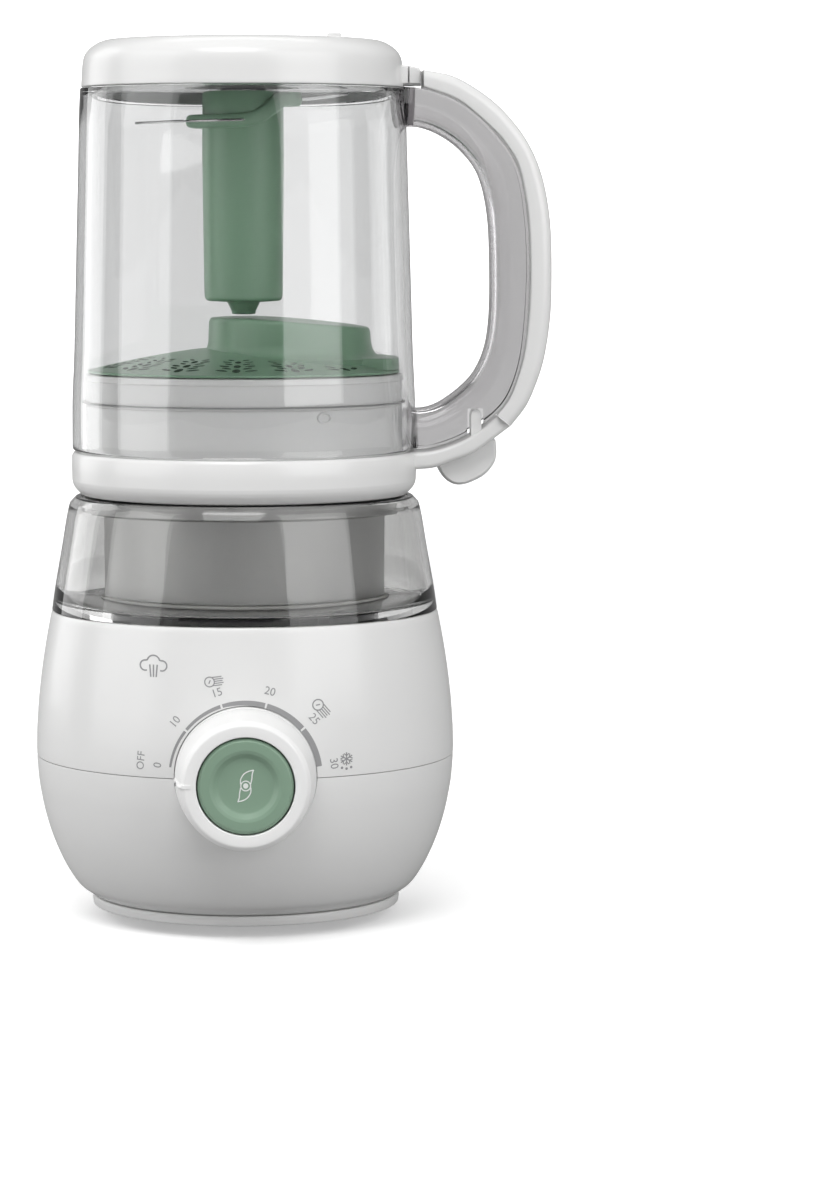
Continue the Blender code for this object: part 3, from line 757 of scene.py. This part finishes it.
def driver_coupling():
    """The motor's splined driver, which the blade unit's socket would take."""
    lugs = []
    for k in range(3):
        rings = []
        for x in (2.6, 7.0, 7.8):
            half = 1.3 if x < 7.5 else 0.9
            ring = [(x, -half, 158.6), (x, half, 158.6), (x, half, 163.2), (x, half * 0.5, 163.8),
                    (x, -half * 0.5, 163.8), (x, -half, 163.2)]
            rings.append(turned(ring, 120 * k))
        lugs.append(tool(f"lug_{k}", *loft(rings)))
    lathe("drive_driver", [(0, 166.0), (3.0, 166.0, 0.8), (4.4, 164.6, 0.5), (4.4, 159.6),
                           (8.3, 159.6, 0.6), (8.3, 149.5), (0, 149.5)], GREY, "motor",
          "drive_coupling", SMALL, extra=join(*lugs))


# ---- lid and strainer

def lid_group():
    profile = [(0, 175.0), (54.0, 175.0, 1.2), (54.3, 191.6, 0.4), (55.4, 192.8, 0.3),
               (57.0, 192.5, 0.5), (57.4, 190.6, 0.3), (56.9, 190.2), (56.9, 182.2),
               (56.6, 182.0), (56.6, 181.6), (56.9, 181.4), (56.9, 164.7, 0.5),
               (61.2, 164.7, 0.9), (62.0, 163.2), (62.0, 158.0), (61.9, 154.6, 1.5)]
    profile += through([(61.7, 153.4), (61.0, 152.0), (59.8, 150.6), (58.6, 149.5)], 3)
    profile += [(57.8, 149.2, 0.4), (56.6, 149.2), (57.4, 152.0), (59.3, 154.4), (59.3, 162.2),
                (54.3, 162.2), (54.3, 172.5), (0, 172.5)]
    steam = at(0, middle("steam_nozzle", 1))
    chimney = rod_tool("chimney", 7.5, 173.5, 186.2, steam)
    inlet = rod_tool("inlet", 5.0, 165, 195, steam)
    lathe("lid_body", profile, WHITE, "lid", "lid",
          extra=join(lid_arm(), lid_tongue(), lid_oval(), chimney) + cut(inlet))
    lathe("seal_ring", [(57.4, 183.0, 0.1), (58.1, 183.0, 0.15), (58.1, 182.4, 0.15),
                        (57.4, 182.4, 0.1)], SEAL_GREY, "seal", "lid_seal")


ARM_TOP = [(60.3, 164.45), (67.5, 165.0), (74.5, 167.0), (80.8, 169.9), (85.5, 172.9),
           (90.73, 177.45)]
ARM_LOW = [(60.3, 158.2), (67.9, 158.8), (74.5, 161.2), (80.8, 163.4), (86.4, 166.9),
           (95.48, 173.65)]


def lid_arm():
    """The lid's arm under the handle: a bar with soft edges and a thumb lug hanging from it."""
    rings = [soft_section(below, above, HANDLE_HALF, 1.8, 1.6)
             for above, below in zip(through(ARM_TOP, 5), through(ARM_LOW, 5))]
    bar = tool("arm_bar", *loft(rings))
    lug_edge = through([(68.6, 160.4), (71.4, 155.4), (74.6, 152.9), (77.9, 152.3),
                        (82.0, 153.4), (86.7, 156.0), (89.9, 159.9), (90.9, 163.4),
                        (90.6, 168.4)], 4)
    lug_centre = np.array((80.0, 166.0))
    rings = []
    for y, drop in ((-5.2, 1.0), (-4.4, 0.25), (-3.6, 0.0), (3.6, 0.0), (4.4, 0.25), (5.2, 1.0)):
        ring = []
        for p in lug_edge:
            q = np.array(p) + unit(lug_centre - np.array(p)) * drop
            ring.append((q[0], y, q[1]))
        ring += [(86.0, y, 169.5), (74.0, y, 164.0)]
        rings.append(ring)
    combine(bar, join(tool("arm_lug", *loft(rings))))
    return bar


def soft_section(inner, outer, half, round_inner, round_outer, steps=4):
    """A rounded rectangle across Y, from an inner (x, z) point to an outer one."""
    a = np.array(inner, float)
    b = np.array(outer, float)
    length = np.linalg.norm(b - a)
    way = (b - a) / length
    ring = []
    corners = ((0, -1, round_inner), (1, -1, round_outer), (1, 1, round_outer),
               (0, 1, round_inner))
    for index, (end, side, radius) in enumerate(corners):
        radius = min(radius, length * 0.49, half * 0.99)
        along = length - radius if end else radius
        across = side * (half - radius)
        for k in range(steps + 1):
            angle = math.radians(180 + 90 * index + 90 * k / steps)
            point = a + way * (along + radius * math.cos(angle))
            ring.append((point[0], across + radius * math.sin(angle), point[1]))
    return ring


def lid_tongue():
    """The upright tongue that the handle's slot takes."""
    rings = []
    for z, inset in ((167.0, 0.0), (177.4, 0.0), (178.6, 0.25), (179.4, 0.75), (179.8, 1.6)):
        rings.append([(81.4 + inset, -9.4, z), (85.1 - inset, -9.4, z), (85.1 - inset, 2, z),
                      (81.4 + inset, 2, z)])
    return tool("tongue", *loft(rings))


def lid_oval():
    """The small raised oval catch on the lid's inner wall."""
    wall_r = 56.75
    rings = []
    for depth, size in ((-1.2, 1.0), (0.75, 1.0), (0.95, 0.85), (0.9, 0.72), (0.2, 0.6)):
        ring = []
        for k in range(24):
            t = 2 * math.pi * k / 24
            a = math.radians(-61.0) + 2.9 * size * math.cos(t) / wall_r
            r = wall_r + depth
            ring.append((r * math.cos(a), r * math.sin(a), 179.0 + 2.1 * size * math.sin(t)))
        rings.append(ring)
    return tool("oval", *loft(rings))


def strainer():
    dish = through([(0, 202.2), (10, 201.8), (20, 200.9), (36, 198.2), (48, 195.7), (54.4, 194.2)],
                   4)
    under = through([(50.5, 193.6), (47.5, 194.2), (36, 196.7), (20, 199.4), (10, 200.2),
                     (0, 200.6)], 3)
    profile = [(0, 202.2)] + dish[1:] + [(56.0, 194.0, 0.4), (56.0, 193.1, 0.2),
                                         (53.0, 193.1, 0.2)] + under
    dome_at = at(DOME_X, 0)
    crest = high("strainer") - 0.05
    dome = [(0, crest), (22.0, crest), (28.4, crest, 1.3), (29.0, 211.0), (29.3, 203.6),
            (29.9, 201.3), (31.0, 199.6), (33.5, 198.2), (33.0, 196.0), (0, 196.0)]
    dome_tool = tool("dome", *revolve(dome, 128, dome_at, dome_crown))
    hollow = [(0, 210.8), (26.0, 210.8, 1.2), (27.2, 208.6), (27.6, 190.0), (0, 190.0)]
    hollow_tool = tool("dome_hollow", *revolve(hollow, 128, dome_at, dome_crown))
    sieve = lathe("sieve", profile, GREEN, "strainer", "strainer", 128,
                  extra=join(dome_tool, ledge_tool()) + cut(hollow_tool, sieve_holes()))
    # the hole walls through the plate take the dark green: painted shade inside the holes
    sieve.data.materials.append(GREEN_PAINTED_SHADE)
    for face in sieve.data.polygons:
        x, y = (c / MM for c in face.center[:2])
        on_plate = math.hypot(x, y) < 53.0 and math.hypot(x - DOME_X, y) > 34.2
        on_ledge = x > 36 and abs(y) < 25
        if on_plate and not on_ledge and abs(face.normal.z) < 0.35:
            face.material_index = 1


def dome_crown(point):
    """The dome's top slopes down towards the handle."""
    start_z, start_x, end_x = 206, -15.5, 29.5
    if point.z < start_z:
        return point
    drop = 3.6 * max(0.0, (point.x - start_x) / (end_x - start_x)) ** 1.35
    return Vector((point.x, point.y, point.z - drop * min(1.0, (point.z - start_z) / 4)))


def ledge_tool():
    """The flat pad between the dome and the rim, on the handle's side."""
    rings = []
    for z, inset in ((194.3, 0.0), (198.0, 0.0), (198.5, 0.5)):
        ring = []
        for k in range(13):
            a = math.radians(-22 + 44 * k / 12)
            ring.append(((55.8 - inset) * math.cos(a), (55.8 - inset) * math.sin(a), z))
        ring += [(40.0, 22.0 - inset, z), (40.0, -22.0 + inset, z)]
        rings.append(ring)
    return tool("ledge", *loft(rings))


def sieve_holes():
    """Leaf-like groups: a row of round holes towards the middle, with slanted slots beside."""
    holes = []
    for k in range(15):
        angle = math.radians(-93 + 24 * k)
        for row in range(3):
            radius = 49.6 - 5.9 * row
            shrink = 1 - 0.13 * row
            holes.append((radius, angle, 2.3 * shrink, 1.5 * shrink, 0.0))
            for side in (-1, 1):
                holes.append((radius - 0.4, angle + side * 5.2 * shrink / radius, 1.0 * shrink,
                              2.45 * shrink, side * 22))
                holes.append((radius - 3.3, angle + side * 3.9 * shrink / radius, 0.9 * shrink,
                              2.0 * shrink, side * 30))
    verts, faces = [], []
    for radius, angle, long, wide, slant in holes:
        px, py = radius * math.cos(angle), radius * math.sin(angle)
        if radius > 52.4 or math.hypot(px - DOME_X, py) < 35.6 or (px > 38 and abs(py) < 25):
            continue
        turn = angle + math.radians(slant)
        start = len(verts)
        for z in (188.0, 206.0):
            for j in range(12):
                t = 2 * math.pi * j / 12
                u, v = long * math.cos(t), wide * math.sin(t)
                verts.append((px + u * math.cos(turn) - v * math.sin(turn),
                              py + u * math.sin(turn) + v * math.cos(turn), z))
        for j in range(12):
            m = (j + 1) % 12
            faces.append((start + j, start + m, start + 12 + m, start + 12 + j))
        faces.append(tuple(start + j for j in range(12))[::-1])
        faces.append(tuple(start + 12 + j for j in range(12)))
    return tool("holes", verts, faces)


# ---- jar, handle and cap

JAR_LINE = [(58.2, 294.2), (58.8, 272.0), (59.3, 254.0), (59.8, 237.0), (60.3, 219.0),
            (60.8, 201.0), (61.3, 190.0), (61.6, 183.0), (61.7, 174.0), (61.7, JAR_MOUTH)]
SEAM_LINE = [(57.0, 294.6), (64.0, 293.9), (76.8, 289.2), (88.6, 279.4), (97.6, 266.4),
             (101.2, 249.0), (102.1, 229.0), (101.2, 210.0), (99.3, 196.0), (95.3, 184.6),
             (89.4, 177.4), (80.8, 171.4), (74.5, 168.4), (67.5, 166.3), (58.5, 165.6)]
FINGER_LINE = [(56.4, 280.6), (63.0, 280.4), (70.4, 277.6), (77.9, 272.1), (84.2, 263.4),
               (87.6, 249.0), (88.5, 229.0), (88.2, 212.0), (86.4, 201.0), (82.6, 192.8),
               (77.6, 187.4), (72.2, 183.3), (67.9, 181.0), (63.9, 180.0), (58.5, 179.8)]


def jar_group():
    outer = through(JAR_LINE, 3)
    profile = [(8.2, JAR_END, 0.5), (54.4, JAR_END, 1.0), (54.4, 294.2), (58.0, 294.2, 0.5)]
    profile += outer[1:-1] + [(61.7, JAR_MOUTH, 0.9)]
    inner = [(r - 2.4, z) for r, z in reversed(outer[2:])]
    profile += [(inner[0][0], inner[0][1], 0.9)] + inner[1:]
    profile += [(55.6, 291.0), (54.4, 294.6), (52.0, 297.8, 2.0), (8.2, 297.8, 0.5)]
    handle = tool("handle_blend", *loft(handle_rings()))
    lathe("jar_wall", profile, CLEAR, "jar", "jar")
    slot = box_tool("slot", (80.0, -14, 150), (85.8, 3.2, 180.2))
    hollow = tool("hollow", *loft(hollow_rings()))
    handle.hide_render = False
    handle.name = "jar_handle"
    finish_piece(handle, HANDLE_CLEAR, "jar", "jar", 40.0,
                 extra=cut(hollow, slot))


def handle_rings():
    """Sections of the clear handle, from the jar's top to its bottom."""
    rings = []
    seam = through(SEAM_LINE, 6)
    finger = through(FINGER_LINE, 6)
    last = len(seam) - 1
    for i, (outer, inner) in enumerate(zip(seam, finger)):
        flare = max(0.0, 1 - i / 5, 1 - (last - i) / 5)
        rings.append(soft_section(inner, outer, HANDLE_HALF + 1.5 * flare ** 2, 8.0, 1.0, 7))
    return rings


def hollow_rings(wall=2.3):
    """The channel inside the handle, open towards its cover."""
    rings = []
    sections = list(zip(through(SEAM_LINE, 6), through(FINGER_LINE, 6)))
    for outer, inner in sections[4:83]:
        a = np.array(inner)
        b = np.array(outer)
        way = unit(b - a)
        rings.append(soft_section(tuple(a + way * wall), tuple(b + way * 1.5),
                                  HANDLE_HALF - wall, 8.1, 0.4, 7))
    return rings


COVER_LINE = [(64.3, 300.6), (76.0, 298.0), (88.5, 290.2), (97.2, 281.3), (103.0, 272.4),
              (107.0, 262.0), (109.4, 249.0), (110.2, 236.0), (110.2, 219.0), (109.4, 209.0),
              (107.6, 198.0), (105.0, 189.5), (101.2, 181.0), (95.6, 173.7)]
COVER_SEAM = [(64.3, 294.5), (76.9, 289.7), (88.9, 279.8), (94.4, 273.4), (98.2, 266.6),
              (100.4, 257.6), (101.7, 249.0), (102.4, 238.0), (102.5, 224.0), (101.9, 212.0),
              (100.4, 199.6), (97.8, 190.4), (94.9, 183.4), (90.6, 177.7)]


def handle_cover():
    rings = [soft_section(inner, outer, COVER_HALF, 0.7, 4.6, 6)
             for inner, outer in zip(through(COVER_SEAM, 6), through(COVER_LINE, 6))]
    add_piece("handle_shell", *loft(rings), WHITE, "jar", "handle_cover", 40.0)


def cap_group():
    top = CAP_TOP
    profile = [(9.9, 305.2, 0.4), (38.0, 305.2, 1.2), (39.2, 311.0, 0.6), (40.4, top, 0.4)]
    profile += through([(45.0, top), (49.0, top - 0.35), (52.0, 309.9), (54.7, 308.0),
                        (56.4, 305.6), (57.1, 302.6), (57.35, 299.0), (57.6, 295.4)], 3)
    profile += [(57.6, 294.5, 0.4), (54.8, 294.5), (54.8, 300.8), (54.0, 304.5), (50.5, 308.2),
                (42.5, 308.2), (40.8, 302.7), (9.9, 302.7)]
    tab = []
    for y, inset in ((-9.0, 0.8), (-8.4, 0.2), (-7.6, 0.0), (7.6, 0.0), (8.4, 0.2), (9.0, 0.8)):
        tab.append([(55.6, y, 295.2 + inset), (63.6 - inset, y, 295.2 + inset),
                    (63.6 - inset, y, 300.2), (62.6 - inset, y, 301.4 - inset * 0.5),
                    (60.0, y, 302.0 - inset), (55.6, y, 302.6 - inset)])
    stop = []
    for z, inset in ((308.0, 0.0), (312.2, 0.0), (312.8, 0.7)):
        stop.append([(29.5 + inset, -34 + inset, z), (34.5 - inset, -34 + inset, z),
                     (34.5 - inset, -29 - inset, z), (29.5 + inset, -29 - inset, z)])
    notch = box_tool("notch", (56.0, -16.0, 303.6), (60.0, -12.0, 309.5))
    groove = box_tool("groove", (58.7, -10, 296.0), (59.3, -5.0, 303.0))
    lathe("top_cap", profile, WHITE, "jar", "jar_cap",
          extra=join(tool("tab", *loft(tab)), tool("stop", *loft(stop))) + cut(notch, groove))
    lathe("bush", [(3.4, 302.4, 0.3), (7.9, 302.4, 0.5), (7.9, 297.0), (3.4, 297.0)], GREY, "jar",
          "spindle_bush", SMALL)
    lathe("spindle_rod", [(0, 303.5), (3.0, 303.5, 0.4), (3.0, 286.6), (0, 286.6)], MOTOR_STEEL,
          "spindle", "spindle", SMALL)
    drive_socket()


def drive_socket():
    """The toothed cup in the cap's recess that turns the spindle."""
    teeth = []
    for k in range(6):
        rings = []
        for z in (304.4, 309.0, 309.5):
            half = 0.9 if z < 309.2 else 0.5
            ring = [(4.9, -half * 0.6, z), (7.2, -half, z), (7.2, half, z), (4.9, half * 0.6, z)]
            rings.append(turned(ring, 60 * k))
        teeth.append(tool(f"tooth_{k}", *loft(rings)))
    lathe("socket", [(0, 305.0), (6.2, 305.0, 0.3), (6.6, 309.6, 0.3), (9.4, 309.6, 0.7),
                     (9.4, 303.8), (0, 303.8)], GREY, "spindle", "drive_socket", SMALL,
          extra=join(*teeth))


# ---- blade unit

def tube_between(points, half_y, half_z, steps=20):
    """Rings of a rounded bar along a path; half_y is across the path, half_z is upright."""
    path = [Vector(p) for p in through(points, 6)]
    rings = []
    for i, here in enumerate(path):
        before = path[max(i - 1, 0)]
        after = path[min(i + 1, len(path) - 1)]
        way = (after - before).normalized()
        across = way.cross(Vector((0, 0, 1))).normalized()
        up = across.cross(way).normalized()
        ends = min(i, len(path) - 1 - i)
        size = (0.55, 0.85, 0.97, 1.0)[min(ends, 3)]
        ring = []
        for k in range(steps):
            t = 2 * math.pi * k / steps
            u = math.copysign(abs(math.cos(t)) ** 0.6, math.cos(t)) * half_y * size
            v = math.copysign(abs(math.sin(t)) ** 0.6, math.sin(t)) * half_z * size
            ring.append(tuple(here + across * u + up * v))
        rings.append(ring)
    return rings


def blade_group():
    column = [(0, 286.2), (3.4, 286.2), (3.4, 296.4, 0.3), (13.4, 296.4, 0.8), (14.5, 294.6)]
    column += [(14.6, 270.0), (14.3, 240.0), (14.1, 222.0), (13.9, 218.6, 1.8), (5.9, 218.1, 0.5),
               (4.4, 215.0, 0.6), (4.2, 213.9, 0.2), (2.9, 213.7, 0.2), (0, 213.7)]
    front = [(-19.4, -2.5, 283.2), (-15.0, -7.5, 283.2), (-9.0, -12.6, 283.2),
             (-2.0, -14.6, 283.3), (4.5, -14.0, 284.6), (9.5, -11.6, 288.6), (13.5, -7.6, 292.2),
             (17.0, -4.0, 292.8), (20.6, -1.5, 292.8)]
    inner = [(-19.4, 1.0, 283.2), (-14.0, 3.0, 283.2), (-8.0, 4.0, 283.2)]
    outer = [(8.0, -1.0, 292.8), (14.0, 0.5, 292.8), (20.6, 1.5, 292.8)]
    arms = join(tool("front_arm", *loft(tube_between(front, 2.3, 3.0))),
                tool("inner_arm", *loft(tube_between(inner, 3.6, 3.0))),
                tool("outer_arm", *loft(tube_between(outer, 3.6, 2.9))))
    verts, faces = revolve(column, 96)
    add_piece("column", verts, faces, GREEN, "blade_unit", "blade_column", 40.0, arms)
    blade_root()
    blade("lower", "blade_lower", [(-21.2, -0.6), (-26.0, -2.0), (-31.0, -4.0), (-38.2, -7.6)],
          [(-21.2, 5.6), (-27.0, 6.2), (-33.0, 4.0), (-38.2, -7.4)], 283.6, -1.3)
    blade("upper", "blade_upper", [(21.2, -5.4), (27.0, -6.0), (33.0, -3.8), (38.0, 6.0)],
          [(21.2, 1.4), (26.0, 2.6), (31.0, 4.4), (38.0, 6.4)], 292.8, 2.2)


def blade_root():
    """The blade's steel where it lies along its arm."""
    path = [(-21.0, -4.6, 283.3), (-15.6, -10.0, 283.3), (-9.4, -15.0, 283.3),
            (-3.4, -17.0, 283.4), (0.6, -17.2, 283.6)]
    add_piece("blade_lower_root", *loft(tube_between(path, 0.35, 0.55, 12)), STEEL, "blade_unit",
              None, 40.0)


def blade(name, node, edge, spine, level, rise):
    """A thin curved blade, bevelled to its cutting edge, that rises or dips towards its tip."""
    edge = through(edge, 6)
    spine = through(spine, 6)
    count = len(edge) - 1
    thick = 0.55
    rings = []
    for i, (a, b) in enumerate(zip(edge, spine)):
        t = i / count
        z = level + rise * t ** 1.7
        mid = (a[0] + (b[0] - a[0]) * 0.3, a[1] + (b[1] - a[1]) * 0.3)
        rings.append([(a[0], a[1], z), (mid[0], mid[1], z + thick), (b[0], b[1], z + thick),
                      (b[0], b[1], z - thick), (mid[0], mid[1], z - thick)])
    add_piece(f"blade_{name}_steel", *loft(rings), STEEL, "blade_unit", node, 25.0)


# ---- the rest of the CAD nodes

KEPT = {
    ALUMINIUM: ["boiler_cup", "motor_end_plate"],
    BLACK: ["timer_module", "relay_block", "cooling_fan", "interlock_switch"],
    BOARD: ["control_board"],
    COPPER: ["heating_element", "motor_stator", "lower_bearing", "upper_bearing"],
    GREY: ["boiler_lid", "chassis_plate"],
    MOTOR_STEEL: ["thermostat", "motor_housing", "rotor_core", "motor_shaft", "cover_screw_1",
                  "cover_screw_2", "cover_screw_3", "cover_screw_4"],
    SILICONE: ["steam_pipe", "water_pipe"],
}


def kept_nodes():
    """CAD nodes that stay as their own pieces get a material."""
    for mat, nodes in KEPT.items():
        for node in nodes:
            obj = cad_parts[node]
            obj.data.materials.clear()
            obj.data.materials.append(mat)


# ---- stage, light and camera

def stage():
    """A floor that sweeps up into a backdrop."""
    line = through([(-4.0, 0.0), (0.9, 0.0), (1.6, 0.05), (2.4, 0.35), (3.0, 1.0), (3.3, 2.2),
                    (3.35, 3.6)], 8)
    count = len(line)
    below_feet = 0.0002
    verts = [(x, y, z - below_feet) for x in (-4.0, 4.0) for y, z in line]
    faces = [(i, i + 1, count + i + 1, count + i) for i in range(count - 1)]
    mesh = bpy.data.meshes.new("floor")
    mesh.from_pydata(verts, [], faces)
    floor = bpy.data.objects.new("floor", mesh)
    bpy.context.scene.collection.objects.link(floor)
    floor.data.shade_smooth()
    floor.data.materials.append(floor_paper())


def floor_paper():
    """Pale paper that glows for the camera, more so far away, and lights the part less."""
    mat, tree, shader = new_material("floor_paper")
    links = tree.links
    shader.inputs["Roughness"].default_value = 0.8
    shader.inputs["Specular IOR Level"].default_value = 0.2
    shader.inputs["Emission Color"].default_value = (1, 1, 1, 1)
    shown = two_tone(tree, object_noise(tree, 3.0), (0.90, 0.90, 0.90), (0.93, 0.93, 0.93))
    ray = add_node(tree, "LightPath")
    seen = add_node(tree, "Math", operation="MAXIMUM")
    links.new(ray.outputs["Is Camera Ray"], seen.inputs[0])
    links.new(ray.outputs["Is Transmission Ray"], seen.inputs[1])
    mix = add_node(tree, "Mix", data_type="RGBA")
    mix.inputs["A"].default_value = (0.37, 0.37, 0.37, 1)
    links.new(seen.outputs["Value"], mix.inputs["Factor"])
    links.new(shown, mix.inputs["B"])
    links.new(mix.outputs["Result"], shader.inputs["Base Color"])
    where = add_node(tree, "TexCoord")
    reach = add_node(tree, "VectorMath", operation="LENGTH")
    far_glow = add_node(tree, "MapRange", {"From Min": 1.2, "From Max": 2.2, "To Min": 0.36,
                                           "To Max": 1.1})
    through_glass = add_node(tree, "Math", {1: 0.10}, operation="MULTIPLY")
    glow = add_node(tree, "Math", operation="MULTIPLY_ADD")
    links.new(where.outputs["Object"], reach.inputs[0])
    links.new(reach.outputs["Value"], far_glow.inputs["Value"])
    links.new(ray.outputs["Is Transmission Ray"], through_glass.inputs[0])
    links.new(ray.outputs["Is Camera Ray"], glow.inputs[0])
    links.new(far_glow.outputs["Result"], glow.inputs[1])
    links.new(through_glass.outputs["Value"], glow.inputs[2])
    links.new(glow.outputs["Value"], shader.inputs["Emission Strength"])
    return mat


def area(name, place, target, size, power):
    """A white rectangular light aimed at a point; metres and watts."""
    light = bpy.data.lights.new(name, "AREA")
    light.shape = "RECTANGLE"
    light.size, light.size_y = size
    light.energy = power
    obj = bpy.data.objects.new(name, light)
    obj.location = place
    way = Vector(target) - Vector(place)
    obj.rotation_euler = way.to_track_quat("-Z", "Y").to_euler()
    bpy.context.scene.collection.objects.link(obj)


def lights():
    """A high front softbox, a strip behind at the left, a panel at each side, a lit backdrop."""
    area("front_high", (-0.25, -1.35, 2.0), (0, 0, 0.12), (1.3, 0.9), 20)
    area("left_strip", (-1.2, 0.85, 0.6), (0, 0, 0.17), (0.8, 1.3), 5.5)
    area("left_panel", (-1.5, -0.5, 0.7), (0, 0, 0.17), (1.3, 1.6), 14)
    area("right_panel", (1.1, -1.0, 0.75), (0, 0, 0.17), (1.3, 1.2), 12.5)
    area("backdrop", (0, 1.6, 2.6), (0, 3.0, 0.7), (1.6, 0.8), 17)
    studio_world()


def studio_world():
    """A dim room, brighter overhead, that the camera sees as white."""
    world = bpy.data.worlds.new("studio")
    bpy.context.scene.world = world
    world.use_nodes = True
    tree = world.node_tree
    links = tree.links
    back = tree.nodes["Background"]
    back.inputs["Strength"].default_value = 0.8
    where = add_node(tree, "TexCoord")
    parts = add_node(tree, "SeparateXYZ")
    ramp = add_node(tree, "ValToRGB")
    stops = ramp.color_ramp.elements
    stops.new(0.4)
    for stop, grey in zip(stops, (0.10, 0.14, 0.75)):
        stop.color = (grey, grey, grey, 1)
    ray = add_node(tree, "LightPath")
    mix = add_node(tree, "Mix", data_type="RGBA")
    mix.inputs["B"].default_value = (1.3, 1.3, 1.3, 1)
    links.new(where.outputs["Generated"], parts.inputs["Vector"])
    links.new(parts.outputs["Z"], ramp.inputs["Fac"])
    links.new(ray.outputs["Is Camera Ray"], mix.inputs["Factor"])
    links.new(ramp.outputs["Color"], mix.inputs["A"])
    links.new(mix.outputs["Result"], back.inputs["Color"])


LENS_MM = 118.98
CAMERA_AT = (0.0, -1.430, 0.2538)
CAMERA_DOWN = 5.73      # degrees below the horizon
CAMERA_RIGHT = 2.41     # degrees to the right of straight ahead


def camera():
    """The photo's view: a long lens that looks slightly down, with the part left of its middle."""
    data = bpy.data.cameras.new("camera")
    data.sensor_width = 36.0
    data.lens = LENS_MM
    obj = bpy.data.objects.new("camera", data)
    obj.location = CAMERA_AT
    obj.rotation_euler = (math.radians(90 - CAMERA_DOWN), 0, math.radians(-CAMERA_RIGHT))
    bpy.context.scene.collection.objects.link(obj)
    bpy.context.scene.camera = obj
    bpy.context.scene.view_settings.view_transform = "Standard"


for make in (camera, stage, lights, underside, lower_shell, upper_shell, cord_inlet, dial_group,
             scale_print, icon_print, tank_group, lid_group, strainer, jar_group, handle_cover,
             cap_group, blade_group, kept_nodes):
    make()
bpy.context.view_layer.update()
